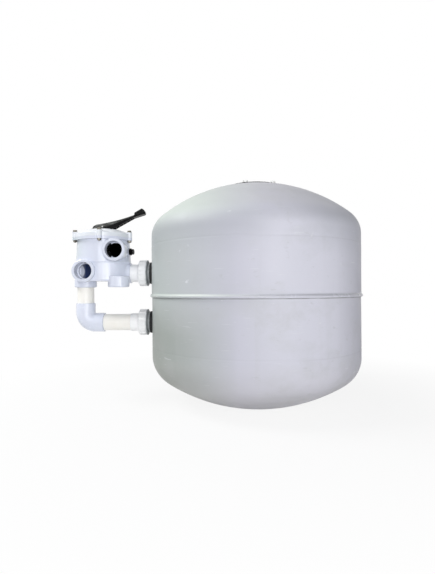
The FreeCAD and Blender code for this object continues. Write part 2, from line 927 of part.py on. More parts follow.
def valve_body():
    """Pot above, manifold below, a seat plate between them, walls between the passages and five ports."""
    ease = chamber_edge * (1 - math.sqrt(0.5))
    body = turned(
        (0, chamber_floor),
        (chamber_radius - chamber_edge, chamber_floor),
        (chamber_radius - ease, chamber_floor + ease, chamber_radius, chamber_floor + chamber_edge),
        (chamber_radius, seat_top - 5),
        (pot_radius_low, seat_top - 1),
        (pot_radius_high, pot_top - rim_height),
        (rim_radius, pot_top - rim_height),
        (rim_radius, pot_top),
        (0, pot_top),
    )
    for boss in lid_bolt_places(ear(pot_top - rim_height, pot_top)):
        body = body.fuse(boss)
    body = body.fuse(front_port(pump_port_side, pump_port_height))
    body = body.fuse(front_port(return_port_side, return_port_height))
    body = body.fuse(moved(down_port(port_radius, floor_thick), bottom_port_side))
    waste = down_port(waste_port_radius, waste_port_rise)
    body = body.fuse(moved(waste, waste_port_side, -waste_port_front))
    body = body.fuse(neck())
    body = body.fuse(plug_piece(rod(plug_boss_radius, pot_bore + 3, plug_boss_reach)))
    body = body.cut(rod(pot_bore, seat_top, pot_top + 1))
    body = valve_passages(body)
    hole = rod(lid_bolt_radius + bolt_hole_clearance, pot_top - rim_height - 8, pot_top + 1, lid_bolt_circle)
    for cutter in lid_bolt_places(hole):
        body = body.cut(cutter)
    body = body.cut(plug_piece(rod(plug_shank_radius + thread_clearance, pot_bore - 12, plug_boss_reach + 1)))
    return moved(body.removeSplitter(), -valve_offset)


def neck():
    """The flared boss that the upper union's tailpiece is bonded into."""
    root = chamber_radius - 2 * neck_flare
    boss = turned(
        (0, root),
        (neck_radius + neck_flare, root),
        (neck_radius, chamber_radius),
        (neck_radius, neck_reach),
        (0, neck_reach),
    )
    return aimed(boss, at(0, 0, upper_port_height), X)


def front_port(side, height):
    """A socket that points to the front: a round boss with a thicker collar and an eased mouth."""
    root = pot_bore / 2
    collar = port_mouth - port_collar_length
    boss = turned(
        (0, root),
        (port_root_radius, root),
        (port_root_radius, collar),
        (port_radius, collar + port_edge),
        (port_radius, port_mouth - port_edge),
        (port_radius - port_edge, port_mouth),
        (0, port_mouth),
    )
    return aimed(boss, at(side, 0, height), -Y)


def down_port(radius, rise):
    """A boss that points down, its foot and top chamfered. It rises by a given height past the floor."""
    top = chamber_floor + rise
    return turned(
        (0, down_port_foot),
        (radius - port_edge, down_port_foot),
        (radius, down_port_foot + port_edge),
        (radius, top - port_edge),
        (radius - port_edge, top),
        (0, top),
    )


def valve_passages(body):
    """Cuts the passages under the seat, the openings through the seat and the bores of the ports."""
    low = chamber_floor + floor_thick
    high = seat_top - seat_thick
    ends = [sector_start + sector_angle * index for index in range(7)]
    for first, last in ((0, 1), (1, 2), (2, 4), (4, 5), (5, 6)):
        room = sector(seat_hub_radius - 4, pot_bore, ends[first], ends[last], web_thick, low, high)
        body = body.cut(room)
    for start in ends[:-1]:
        end = start + sector_angle
        opening = sector(seat_hub_radius, seat_ring_radius, start, end, seat_web, high - 1, seat_top + 1)
        body = body.cut(opening)
    body = cut_front_port(body, pump_port_side, pump_port_height, 0.45 * pot_bore)
    body = cut_front_port(body, return_port_side, return_port_height, 0.7 * pot_bore)
    socket = pipe_radius + socket_clearance
    foot = down_port_foot
    body = body.cut(rod(socket, foot - 1, foot + bottom_socket_depth, bottom_port_side))
    body = body.cut(rod(port_bore, foot, low + 1, bottom_port_side))
    body = body.cut(rod(socket, foot - 1, foot + waste_socket_depth, waste_port_side, -waste_port_front))
    roof = chamber_floor + waste_port_rise - waste_port_roof
    waste = rod(port_bore, foot, roof, waste_port_side, -waste_port_front)
    body = body.cut(waste.common(wedge(ends[5], ends[6], web_thick / 2, 3 * pot_bore, foot, roof)))
    inner = neck_reach - neck_socket_depth
    start = 0.6 * pot_bore
    body = body.cut(Part.makeCylinder(socket, neck_socket_depth + 1, at(inner, 0, upper_port_height), X))
    return body.cut(Part.makeCylinder(port_bore, inner - start, at(start, 0, upper_port_height), X))


def cut_front_port(body, side, height, depth):
    """Cuts a front port's pipe socket and its narrower bore, which starts a depth in front of the axis."""
    step = port_mouth - port_socket_depth
    socket = pipe_radius + socket_clearance
    body = body.cut(Part.makeCylinder(socket, port_socket_depth + 1, at(side, -step, height), -Y))
    return body.cut(Part.makeCylinder(port_bore, step - depth, at(side, -depth, height), -Y))


def plug_piece(shape):
    """Aims a shape made about +Z out through the pot's wall at the plug."""
    direction = at(math.cos(math.radians(plug_angle)), math.sin(math.radians(plug_angle)), 0)
    return aimed(shape, at(0, 0, plug_height), direction)


def gauge_port_plug():
    """Screw plug in the pressure tapping: shank, flange and a lobed knob."""
    seat = plug_boss_reach + 2 * plug_ring_wire
    body = rod(plug_shank_radius, plug_boss_reach - plug_shank_length, seat)
    body = body.fuse(rod(plug_head_radius, seat, seat + plug_head_thick))
    knob = hexagon(1.14 * plug_knob_radius, plug_knob_thick)
    knob = knob.common(rod(plug_knob_radius, -1, plug_knob_thick + 1))
    body = body.fuse(moved(knob, 0, 0, seat + plug_head_thick))
    return moved(plug_piece(body.removeSplitter()), -valve_offset)


def gauge_plug_o_ring():
    radius = plug_shank_radius + plug_ring_wire + bond_line
    seal = seal_ring(radius, plug_ring_wire, plug_boss_reach + plug_ring_wire)
    return moved(plug_piece(seal), -valve_offset)


def valve_lid():
    """Shallow domed lid with a spigot in the pot, a sealed bore for the stem and an ear for each bolt."""
    spigot = pot_bore - lid_spigot_clearance
    floor = pot_top - lid_spigot_depth
    rim_top = pot_top + lid_rim_height
    roof = pot_top + lid_roof
    bore = stem_radius + stem_clearance
    groove = lid_groove_radius()
    seal = pot_top - lid_spigot_depth / 2
    eased = lid_rim_edge * (1 - math.sqrt(0.5))
    lid = turned(
        (bore, floor),
        (lid_boss_radius, floor),
        (lid_boss_radius, roof),
        (lid_inner_radius, roof - 6),
        (lid_inner_radius, floor),
        (spigot, floor),
        (spigot, seal - lid_ring_wire),
        (groove, seal - lid_ring_wire),
        (groove, seal + lid_ring_wire),
        (spigot, seal + lid_ring_wire),
        (spigot, pot_top),
        (rim_radius, pot_top),
        (rim_radius, rim_top - lid_rim_edge),
        (rim_radius - eased, rim_top - eased, rim_radius - lid_rim_edge, rim_top),
        (lid_inner_radius, pot_top + 0.79 * lid_crown_height, lid_flat_radius, lid_top),
        (bore, lid_top),
    )
    for boss in lid_bolt_places(ear(pot_top, lid_ear_top)):
        lid = lid.fuse(boss)
    hole = rod(lid_bolt_radius + bolt_hole_clearance, pot_top - 1, lid_top, lid_bolt_circle)
    spot_face = rod(1.1 * bolt_washer_radius, lid_ear_top, lid_top, lid_bolt_circle)
    for cutter in lid_bolt_places(hole) + lid_bolt_places(spot_face):
        lid = lid.cut(cutter)
    return moved(lid.removeSplitter(), -valve_offset)


def lid_groove_radius():
    return pot_bore - 2 * lid_ring_wire


def lid_o_ring():
    middle = lid_groove_radius() + lid_ring_wire - bond_line + lid_ring_play
    return moved(seal_ring(middle, lid_ring_wire - bond_line, pot_top - lid_spigot_depth / 2), -valve_offset)


def lid_washers():
    hole = lid_bolt_radius + bond_line
    washer = ring(bolt_washer_radius, hole, lid_ear_top, lid_ear_top + bolt_washer_thick, lid_bolt_circle)
    return moved(Part.makeCompound(lid_bolt_places(washer)), -valve_offset)


def lid_bolts():
    seat = lid_ear_top + bolt_washer_thick
    end = pot_top - rim_height - bolt_nut_height - bolt_spare
    head = moved(hexagon(bolt_head_radius, bolt_head_height), lid_bolt_circle, 0, seat)
    bolt = head.fuse(rod(lid_bolt_radius, end, seat, lid_bolt_circle))
    return moved(Part.makeCompound(lid_bolt_places(bolt)), -valve_offset)


def lid_nuts():
    top = pot_top - rim_height
    nut = hexagon(bolt_head_radius, bolt_nut_height)
    nut.rotate(at(0, 0, 0), Z, 30)
    nut = moved(nut, lid_bolt_circle, 0, top - bolt_nut_height)
    nut = nut.cut(rod(lid_bolt_radius + bond_line, top - 2 * bolt_nut_height, top + 1, lid_bolt_circle))
    return moved(Part.makeCompound(lid_bolt_places(nut)), -valve_offset)


def spider_gasket():
    """Rubber wheel on the seat plate: a rim, a hub and a spoke on each wall between the openings."""
    low = seat_top
    high = seat_top + gasket_thick
    half = gasket_web / 2
    body = ring(seat_hub_radius, seat_hub_radius - 1.2 * gasket_web, low, high)
    body = body.fuse(ring(seat_ring_radius + gasket_web, seat_ring_radius, low, high))
    spoke = slab(seat_hub_radius - half, seat_ring_radius + half, -half, half, low, high)
    for piece in around(spoke, 6, sector_start):
        body = body.fuse(piece)
    return moved(body.removeSplitter(), -valve_offset)


def diverter():
    """Disc and stem in one moulding: one opening through the disc, and a hood that joins two passages."""
    low = diverter_floor
    plate = low + diverter_plate
    groove = stem_radius - 2 * stem_ring_wire - bond_line
    half = stem_ring_wire + bond_line
    steps = [
        (0, low),
        (diverter_radius, low),
        (diverter_radius, plate - diverter_edge),
        (diverter_radius - diverter_edge, plate),
        (hub_shoulder_radius + hub_flare, plate),
        (hub_shoulder_radius, plate + hub_flare),
        (hub_shoulder_radius, hub_shoulder_height),
        (stem_radius, hub_shoulder_height),
    ]
    for height in stem_ring_heights():
        steps += [(stem_radius, height - half), (groove, height - half)]
        steps += [(groove, height + half), (stem_radius, height + half)]
    steps += [(stem_radius, pin_level + tang_top), (0, pin_level + tang_top)]
    body = turned(*steps)
    start = sector_start + 3 * sector_angle
    end = start + 2 * sector_angle
    hood_top = low + hood_height
    rim = diverter_radius - diverter_edge
    body = body.fuse(sector(seat_hub_radius - seat_web, rim, start, end, bond_line, plate - 1, hood_top))
    under = hood_top - hood_wall
    body = body.cut(sector(seat_hub_radius, seat_ring_radius, start, end, 2 * hood_wall, low - 1, under))
    end = sector_start + sector_angle
    rim = hub_shoulder_radius + seat_web
    body = body.cut(sector(rim, seat_ring_radius, sector_start, end, seat_web, low - 1, hood_top))
    side = 2 * stem_radius
    for sense in (-1, 1):
        flat = slab(-side, side, tang_thick / 2, side, lid_top - tang_drop, pin_level + side)
        if sense < 0:
            flat = flat.mirror(at(0, 0, 0), Y)
        body = body.cut(flat)
    body = body.cut(Part.makeCylinder(pin_radius + pin_fit, 2 * side, at(0, -side, pin_level), Y))
    return moved(body.removeSplitter(), -valve_offset)


def stem_ring_heights():
    """The two seals sit low in the lid's bore at rest, so that they stay in it when the stem lifts."""
    first = pot_top + stem_ring_start
    return [first, first + stem_ring_gap]


def stem_o_rings():
    rings = [seal_ring(stem_radius - stem_ring_wire, stem_ring_wire, height) for height in stem_ring_heights()]
    return moved(Part.makeCompound(rings), -valve_offset)


def slip_washer(low):
    return ring(slip_washer_radius, stem_radius + washer_clearance, low, low + slip_washer_thick)


def upper_slip_washer():
    return moved(slip_washer(pot_top - lid_spigot_depth - slip_washer_thick), -valve_offset)


def lower_slip_washer():
    return moved(slip_washer(hub_shoulder_height), -valve_offset)


def diverter_spring():
    """Compression spring that holds the disc down on its seat."""
    low = hub_shoulder_height + slip_washer_thick + spring_wire
    high = pot_top - lid_spigot_depth - slip_washer_thick - spring_wire
    pitch = (high - low) / spring_turns
    helix = Part.makeHelix(pitch, high - low, spring_radius)
    corners = [at(x, 0, z) for x, z in wire_section(spring_radius, spring_wire, 0)]
    section = Part.makePolygon(corners + corners[:1])
    coil = Part.Wire(helix).makePipeShell([section], True, True)
    return moved(coil, -valve_offset, 0, low)


def handle_washer():
    washer = ring(handle_washer_radius, stem_radius + washer_clearance, lid_top, handle_floor)
    return moved(washer, -valve_offset)


def handle_pin():
    pin = Part.makeCylinder(pin_radius, pin_length, at(0, -pin_length / 2, pin_level), Y)
    return moved(pin, -valve_offset)


def side_outline():
    """The handle from the side: flat sole, pointed toe, arm rising to the right and a thicker grip."""
    sole = handle_floor
    toe = at(-handle_toe, 0, sole)
    heel = at(handle_heel, 0, sole)
    under = at(arm_end, 0, sole + arm_end_under)
    nose = at(grip_reach, 0, sole + grip_nose)
    brow = at(grip_reach - 0.5, 0, sole + (2 * grip_nose + grip_top + 4) / 3)
    top = at(grip_reach - grip_back, 0, sole + grip_top)
    step = at(arm_end, 0, sole + arm_end_over + grip_step)
    over = at(arm_end, 0, sole + arm_end_over)
    crest = at(-handle_crest_back, 0, sole + handle_crest)
    sag = at((arm_end + crest.x) / 2, 0, sole + (arm_end_over + handle_crest) / 2 - arm_sag)
    back = at(-0.9 * handle_toe, 0, sole + 0.6 * handle_crest)
    edges = [
        Part.makeLine(toe, heel),
        Part.makeLine(heel, under),
        Part.makeLine(under, nose),
        Part.Arc(nose, brow, top).toShape(),
        Part.makeLine(top, step),
        Part.makeLine(step, over),
        Part.Arc(over, sag, crest).toShape(),
        Part.Arc(crest, back, toe).toShape(),
    ]
    return Part.Wire(edges)


def plan_outline(inset):
    """The handle from above: broad round base, waist and grip, all drawn in by an inset."""
    half = handle_width / 2 - inset
    waist = handle_waist / 2 - inset
    grip = grip_width / 2 - inset
    end = grip_reach + 3 - inset
    start = -handle_toe - 1 + inset
    right = [(start + half, half), (handle_heel + arm_shoulder, waist + 2), (arm_end - 4, waist)]
    right += [(arm_end + 2, grip), (end - 8, grip), (end, grip - 8)]
    upper = [at(x, y, 0) for x, y in right]
    lower = [at(x, -y, 0) for x, y in reversed(right)]
    corners = upper + lower
    edges = [Part.makeLine(corners[i], corners[i + 1]) for i in range(len(corners) - 1)]
    edges.append(Part.Arc(lower[-1], at(start, 0, 0), upper[0]).toShape())
    return Part.Wire(edges)


def side_prism():
    """The side outline, carried right across the handle's width."""
    side = Part.Face(side_outline())
    side.translate(at(0, -handle_width, 0))
    return side.extrude(Y * 2 * handle_width)


def plan_prism(inset):
    plan = Part.Face(plan_outline(inset))
    plan.translate(at(0, 0, handle_floor - 1))
    return plan.extrude(Z * 2 * grip_top)


def flanks(inset):
    """Room between the two flanks that slope up to the ridge of the base and the arm, drawn in by an inset."""
    slope = (arm_end_over - handle_crest) / (arm_end + handle_crest_back)
    start = -2 * handle_toe
    ridge = handle_floor + handle_crest + slope * (start + handle_crest_back) - math.sqrt(2) * inset
    top = handle_ridge / 2
    wide = top + handle_width
    corners = [
        at(start, -wide, ridge - handle_width),
        at(start, -top, ridge),
        at(start, top, ridge),
        at(start, wide, ridge - handle_width),
        at(start, wide, ridge - 4 * handle_width),
        at(start, -wide, ridge - 4 * handle_width),
    ]
    section = Part.Face(Part.makePolygon(corners + corners[:1]))
    run = arm_end - start
    room = section.extrude(at(run, 0, slope * run))
    return room.fuse(slab(arm_end - 1, 2 * arm_end, -wide, wide, handle_floor - 1, handle_floor + 2 * grip_top))


def handle():
    """Lever with a fork at its base for the stem's flat tang, and a ribbed hollow under its arm."""
    solid = side_prism().common(plan_prism(0)).common(flanks(0))
    solid = solid.cut(fork_slot()).cut(arm_hollow())
    hole = Part.makeCylinder(pin_radius + pin_clearance, 2 * handle_width, at(0, -handle_width, pin_level), Y)
    return moved(solid.cut(hole).removeSplitter(), -valve_offset)


def fork_reach():
    """How far the tang comes to the right of the pin, as the handle sees it, when it is pressed down."""
    swing = math.radians(handle_swing)
    depth = pin_height + handle_washer_thick + tang_drop
    return stem_radius * math.cos(swing) + depth * math.sin(swing) + fork_gap


def fork_slot():
    """Room in the base for the tang. Its roof is higher on the right, where the tang's corner rises."""
    swing = math.radians(handle_swing)
    back = stem_radius * math.cos(swing) + tang_top * math.sin(swing) + fork_gap
    half = tang_thick / 2 + tang_clearance
    floor = handle_floor - 1
    roof = pin_level + tang_top + fork_gap
    rise = stem_radius * math.sin(swing)
    left = slab(-back, 1, -half, half, floor, roof)
    return left.fuse(slab(0, fork_reach(), -half, half, floor, roof + rise))


def arm_hollow():
    """The pocket under the arm, between side walls and under a skin, crossed by ribs."""
    side = side_prism()
    lowered = moved(side, 0, 0, -handle_skin)
    pocket = side.common(lowered).common(plan_prism(handle_skin)).common(flanks(handle_skin))
    start = fork_reach() + handle_skin
    end = arm_end - handle_skin
    side = handle_width
    high = 2 * handle_floor
    pocket = pocket.common(slab(start, end, -side, side, 0, high))
    pitch = (end - start) / (handle_rib_count + 1)
    half = handle_rib_thick / 2
    for index in range(handle_rib_count):
        middle = start + (index + 1) * pitch
        pocket = pocket.cut(slab(middle - half, middle + half, -side, side, 0, high))
    return pocket


def build():
    parts = {
        "tank_upper_shell": tank_upper_shell(),
        "tank_lower_shell": tank_lower_shell(),
        "closure_lid": closure_lid(),
        "closure_gasket": closure_gasket(),
        "closure_washers": closure_washers(),
        "closure_bolts": closure_bolts(),
        "air_bleed_plug": air_bleed_plug(),
        "air_bleed_o_ring": air_bleed_o_ring(),
        "upper_union_tailpiece": upper_union_tailpiece(),
        "lower_union_tailpiece": lower_union_tailpiece(),
        "horizontal_pipe": horizontal_pipe(),
        "vertical_pipe": vertical_pipe(),
        "pipe_elbow": pipe_elbow(),
        "riser_pipe": riser_pipe(),
        "inlet_diffuser": inlet_diffuser(),
        "stand_pipe": stand_pipe(),
        "lateral_hub": lateral_hub(),
        "laterals": laterals(),
        "drain_gasket": drain_gasket(),
        "drain_fitting": drain_fitting(),
        "drain_locknut": drain_locknut(),
        "drain_cap_gasket": drain_cap_gasket(),
        "drain_cap": drain_cap(),
        "valve_body": valve_body(),
        "gauge_port_plug": gauge_port_plug(),
        "gauge_plug_o_ring": gauge_plug_o_ring(),
        "valve_lid": valve_lid(),
        "lid_o_ring": lid_o_ring(),
        "lid_washers": lid_washers(),
        "lid_bolts": lid_bolts(),
        "lid_nuts": lid_nuts(),
        "spider_gasket": spider_gasket(),
        "diverter": diverter(),
        "stem_o_rings": stem_o_rings(),
        "upper_slip_washer": upper_slip_washer(),
        "lower_slip_washer": lower_slip_washer(),
        "diverter_spring": diverter_spring(),
        "handle_washer": handle_washer(),
        "handle_pin": handle_pin(),
        "handle": handle(),
    }
    for name, flow, height in (("upper", "inlet", upper_port_height), ("lower", "outlet", lower_port_height)):
        parts[name + "_bulkhead"] = bulkhead(height)
        parts[name + "_bulkhead_gasket"] = bulkhead_gasket(height)
        parts[name + "_bulkhead_locknut"] = bulkhead_locknut(height)
        parts[name + "_union_o_ring"] = union_o_ring(height)
        parts[name + "_union_nut"] = union_nut(height)
        parts[flow + "_pipe"] = belled_pipe(height)
        parts[flow + "_elbow"] = inner_elbow(height, flow == "inlet")
    return parts


os.makedirs("parts", exist_ok=True)
for node, shape in build().items():
    shape.exportStep("parts/" + node + ".step")
    print(node, len(shape.Solids), shape.isValid(), round(shape.Volume / 1000.0, 1))
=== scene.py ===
# %% [markdown]
# # A pool sand filter
#
# The real object is a domed plastic tank that holds sand, with a hand-turned valve on its left side and a
# loop of pressure pipe between them. The solids come ready made, each in its own place, so this lesson is
# about what a camera sees: smooth moulded skins, the small waves and scuffs of a tank that has stood
# outdoors, and the difference between three kinds of white plastic, rubber and steel.

import math

import bmesh
import bpy
import numpy as np
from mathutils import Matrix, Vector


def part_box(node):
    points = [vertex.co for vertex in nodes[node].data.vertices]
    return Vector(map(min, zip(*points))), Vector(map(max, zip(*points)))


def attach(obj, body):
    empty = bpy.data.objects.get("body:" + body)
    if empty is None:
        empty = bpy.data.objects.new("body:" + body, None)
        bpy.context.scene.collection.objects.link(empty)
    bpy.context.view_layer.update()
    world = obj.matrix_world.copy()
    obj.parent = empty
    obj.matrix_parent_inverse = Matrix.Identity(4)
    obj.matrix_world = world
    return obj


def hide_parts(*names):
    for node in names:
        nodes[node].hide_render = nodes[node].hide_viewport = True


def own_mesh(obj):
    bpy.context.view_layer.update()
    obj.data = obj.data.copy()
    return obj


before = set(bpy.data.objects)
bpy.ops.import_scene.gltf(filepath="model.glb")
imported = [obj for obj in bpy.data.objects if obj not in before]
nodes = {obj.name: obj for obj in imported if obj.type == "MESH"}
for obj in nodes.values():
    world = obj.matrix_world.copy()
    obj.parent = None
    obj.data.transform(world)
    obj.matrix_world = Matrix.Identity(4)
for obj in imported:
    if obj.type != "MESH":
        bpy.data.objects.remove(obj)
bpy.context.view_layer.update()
mm = 0.001

# %% [markdown]
# ## Camera
#
# The photograph was taken from about a metre and a half, straight at the tank's side and at half its
# height: the seam shows as a nearly level line, and neither the top nor the foot can be looked down on. At
# that distance a wide lens is needed, and it is what makes the ports on the left look past their own
# mouths. The camera was worked out from the tank's width, its seam and its two domes, and it leans by a
# third of a degree, as a hand-held one does.

# %% Place the camera
camera = bpy.data.objects.new("camera", bpy.data.cameras.new("camera"))
bpy.context.scene.collection.objects.link(camera)
camera.location = (-138.5 * mm, -1560 * mm, 406 * mm)
camera.rotation_euler = (math.radians(90.28), math.radians(0.34), 0)
camera.data.sensor_width = 36
camera.data.lens = 26.03
camera.data.clip_start = 0.05
bpy.context.scene.camera = camera
print("camera at", tuple(round(v, 3) for v in camera.location), "lens", camera.data.lens)

# %% [markdown]
# ## Small tools for materials
#
# A material is a little graph of nodes. Writing one by hand takes many lines, so short functions do the
# repeated work: one adds a node and joins it up, and another starts a finish from the position on the
# object, so that a pattern stays fixed to the surface from every side. Colours are written as the 0 to 255
# numbers that a screen shows, and turned into the linear light that Blender adds up.


# %% Start a finish
def light(red, green, blue):
    """Linear light of a screen colour: the value over 255, and then raised by the screen's curve."""
    value = np.array([red, green, blue]) / 255
    linear = np.where(value <= 0.04045, value / 12.92, ((value + 0.055) / 1.055) ** 2.4)
    return (*linear.tolist(), 1.0)


def add(tree, kind, sockets=None, **settings):
    """A node of one kind, with its settings made and its sockets filled or joined."""
    made = tree.nodes.new("ShaderNode" + kind)
    for key, value in settings.items():
        setattr(made, key, value)
    for key, value in (sockets or {}).items():
        if isinstance(value, bpy.types.NodeSocket):
            tree.links.new(value, made.inputs[key])
        else:
            made.inputs[key].default_value = value
    return made


def start_finish(name):
    """A new material, its node tree, its surface shader and the position on the object."""
    material = bpy.data.materials.new(name)
    material.use_nodes = True
    tree = material.node_tree
    shader = tree.nodes["Principled BSDF"]
    place = add(tree, "TexCoord").outputs["Object"]
    return material, tree, shader, place


def dress(material, *names):
    """Gives a finish to solids by name."""
    for name in names:
        thing = nodes[name]
        thing.data.materials.clear()
        thing.data.materials.append(material)


print("finishes can be started")

# %% [markdown]
# Most of a finish is arithmetic on masks. A mask is a value from nought to one that says how much of a tone
# lies at a point, and two masks multiplied give the tone only where both allow it. The first cell here
# holds that arithmetic: a straight line through a value, one step on two values, a product, a weighted sum,
# a band between edges, and a distance. The second has the cloudy noise that nature's marks are cut from,
# coats of colour laid by their masks, and the bumps and eased edges that light shows.


# %% Arithmetic on masks
def ramp(tree, value, low, high, first=0.0, last=1.0):
    """Straight line through a value: first at low and last at high, held outside them."""
    sockets = {0: value, 1: low, 2: high, 3: first, 4: last}
    return add(tree, "MapRange", sockets, clamp=True).outputs["Result"]


def combine(tree, operation, first, second=0.0):
    """One step of arithmetic on two values, which may be numbers."""
    return add(tree, "Math", {0: first, 1: second}, operation=operation).outputs[0]


def product(tree, first, *others):
    """Values multiplied together."""
    for value in others:
        first = combine(tree, "MULTIPLY", first, value)
    return first


def sums(tree, *terms):
    """Weighted sum of values. Each term is a value and its weight."""
    total, *others = [combine(tree, "MULTIPLY", value, weight) for value, weight in terms]
    for part in others:
        total = combine(tree, "ADD", total, part)
    return total


def between(tree, value, start, full, fade, end, most=1.0):
    """A band: it rises from nought at start to its most at full, and falls from fade to nought at end."""
    return product(tree, ramp(tree, value, start, full, 0.0, most), ramp(tree, value, fade, end, 1.0, 0.0))


def distance(tree, across, up):
    """Distance from nought in a plane: the square root of the sum of the two squares."""
    flat = add(tree, "CombineXYZ", {"X": across, "Y": up}).outputs[0]
    return add(tree, "VectorMath", {0: flat}, operation="LENGTH").outputs["Value"]


def axes(tree, vector):
    """The three parts of a position or a direction."""
    parts = add(tree, "SeparateXYZ", {0: vector}).outputs
    return parts["X"], parts["Y"], parts["Z"]


def facing_up(tree):
    """One where the surface looks at the sky, nought on an upright wall, less than nought below."""
    return axes(tree, add(tree, "NewGeometry").outputs["Normal"])[2]


print("masks can be combined")


# %% Patterns, coats and relief
def noise(tree, place, scale, detail, stretch=(1, 1, 1), rough=0.5):
    """Cloudy grey pattern. Scale is in cells to a metre, and stretch draws it out where it is below one."""
    mapped = add(tree, "Mapping", {"Vector": place, "Scale": stretch}).outputs["Vector"]
    sockets = {"Vector": mapped, "Scale": scale, "Detail": detail, "Roughness": rough}
    return add(tree, "TexNoise", sockets).outputs["Fac"]


def mix(tree, share, first, second):
    """Two colours mixed by a share."""
    return add(tree, "Mix", {0: share, 6: first, 7: second}, data_type="RGBA").outputs[2]


def coats(tree, colour, *layers):
    """A colour with coats laid over it in turn. Each coat is its share and its screen colour."""
    for share, tone in layers:
        colour = mix(tree, share, colour, light(*tone))
    return colour


def relief(tree, shader, height, depth, strength, normal=None):
    """Lets a height pattern shade as small bumps of a depth in metres."""
    sockets = {"Height": height, "Distance": depth, "Strength": strength}
    if normal is not None:
        sockets["Normal"] = normal
    made = add(tree, "Bump", sockets)
    tree.links.new(made.outputs["Normal"], shader.inputs["Normal"])


def eased(tree, radius):
    """Normal of a surface whose edges and inner corners are rounded by a radius in metres."""
    return add(tree, "Bevel", {"Radius": radius}, samples=6).outputs["Normal"]


print("patterns, coats and relief are ready")

# %% [markdown]
# ## Floor, background and light
#
# The photograph has been cut out on white. A white floor that runs into a white world does the same, but
# the floor has to keep the soft shadow that shows where the tank stands. So what the camera and mirrors see
# is lifted towards white by Light Path, a little less near the tank than far from it, and nothing more
# falls on the object. The light itself is plain: a weak pale sky, a soft lamp low on the right that rounds
# the tank, a large one in front, one high on the left that brightens the dome, and a tall narrow one that
# draws the upright gleams on the glossy valve.


# %% Floor and world
def seen_directly(tree):
    """One for rays from the camera, a mirror or glass, and nought for the light that falls on things."""
    path = add(tree, "LightPath").outputs
    first = combine(tree, "MAXIMUM", path["Is Camera Ray"], path["Is Glossy Ray"])
    return combine(tree, "MAXIMUM", first, path["Is Transmission Ray"])


floor_mesh = bpy.data.meshes.new("floor")
reach = 40.0
corners = [(-reach, -reach, 0), (reach, -reach, 0), (reach, reach, 0), (-reach, reach, 0)]
floor_mesh.from_pydata(corners, [], [(0, 1, 2, 3)])
floor = bpy.data.objects.new("floor", floor_mesh)
floor.location.z = -0.2 * mm
bpy.context.scene.collection.objects.link(floor)

material, tree, shader, place = start_finish("floor")
shader.inputs["Base Color"].default_value = (0.86, 0.86, 0.86, 1)
shader.inputs["Roughness"].default_value = 1.0
shader.inputs["Specular IOR Level"].default_value = 0.0
glow = add(tree, "Emission", {"Color": (1, 1, 1, 1), "Strength": 1.0})
away = add(tree, "VectorMath", {0: place}, operation="LENGTH").outputs["Value"]
near_tank, far_off, near_lift = 0.45, 1.2, 0.88
share = product(tree, seen_directly(tree), ramp(tree, away, near_tank, far_off, near_lift, 1.0))
blend = add(tree, "MixShader", {0: share, 1: shader.outputs[0], 2: glow.outputs[0]})
tree.links.new(blend.outputs[0], tree.nodes["Material Output"].inputs["Surface"])
floor_mesh.materials.append(material)

world = bpy.data.worlds.new("pale sky")
world.use_nodes = True
tree = world.node_tree
sky = tree.nodes["Background"]
sky.inputs["Color"].default_value = (0.94, 0.97, 1.0, 1)
sky.inputs["Strength"].default_value = 0.16
white = add(tree, "Background", {"Color": (1, 1, 1, 1), "Strength": 1.0})
blend = add(tree, "MixShader", {0: seen_directly(tree), 1: sky.outputs[0], 2: white.outputs[0]})
tree.links.new(blend.outputs[0], tree.nodes["World Output"].inputs["Surface"])
bpy.context.scene.world = world
bpy.context.scene.view_settings.view_transform = "Standard"
print("floor and world are ready")


# %% Lamps
def lamp(name, place, target, size, power):
    """A soft lamp of a width and a height at a place, turned to shine at a target."""
    data = bpy.data.lights.new(name, "AREA")
    data.shape = "RECTANGLE"
    data.size, data.size_y = size
    data.energy = power
    made = bpy.data.objects.new(name, data)
    bpy.context.scene.collection.objects.link(made)
    made.location = place
    back = np.array(place) - np.array(target)
    level = math.hypot(back[0], back[1])
    made.rotation_euler = (math.atan2(level, back[2]), 0, math.atan2(back[0], -back[1]))
    return made


lamp("right lamp", (1.05, -2.75, 0.25), (0, 0, 0.4), (1.0, 1.0), 25)
lamp("front lamp", (-0.25, -3.2, 1.2), (-0.25, 0, 0.4), (1.6, 1.6), 28)
lamp("top lamp", (-1.95, -0.15, 2.3), (-0.15, 0, 0.65), (1.2, 1.2), 52)
lamp("strip lamp", (0.2, -2.9, 0.7), (-0.5, 0, 0.5), (0.22, 1.8), 9)
print("four lamps")

# %% [markdown]
# ## Surfaces from arrays
#
# A turned or swept skin is a grid of points: one number runs along the profile, the other runs round the
# axis. Numpy works out the whole grid at once, and the mesh gets its points and its four-cornered faces in
# one call each. Where the profile meets the axis the points of a row fall together, so they are merged, and
# the faces are then turned to look outwards.


# %% Grid helpers
def cells(rows, columns, joined):
    """Corner numbers of a grid's faces. Columns always close on themselves, and rows where joined."""
    i, j = np.meshgrid(np.arange(rows if joined else rows - 1), np.arange(columns), indexing="ij")
    i, j = i.ravel(), j.ravel()
    up, on = (i + 1) % rows, (j + 1) % columns
    return np.column_stack((i * columns + j, up * columns + j, up * columns + on, i * columns + on))


def skin(name, points, body, joined=True):
    """A mesh piece from a grid of points, riding on a body, smooth, closed and facing outwards."""
    rows, columns = points.shape[:2]
    mesh = bpy.data.meshes.new(name)
    mesh.from_pydata(points.reshape(-1, 3).tolist(), [], cells(rows, columns, joined).tolist())
    work = bmesh.new()
    work.from_mesh(mesh)
    bmesh.ops.remove_doubles(work, verts=work.verts, dist=0.002 * mm)
    bmesh.ops.recalc_face_normals(work, faces=work.faces)
    work.to_mesh(mesh)
    work.free()
    mesh.shade_smooth()
    piece = bpy.data.objects.new(name, mesh)
    bpy.context.scene.collection.objects.link(piece)
    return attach(piece, body)


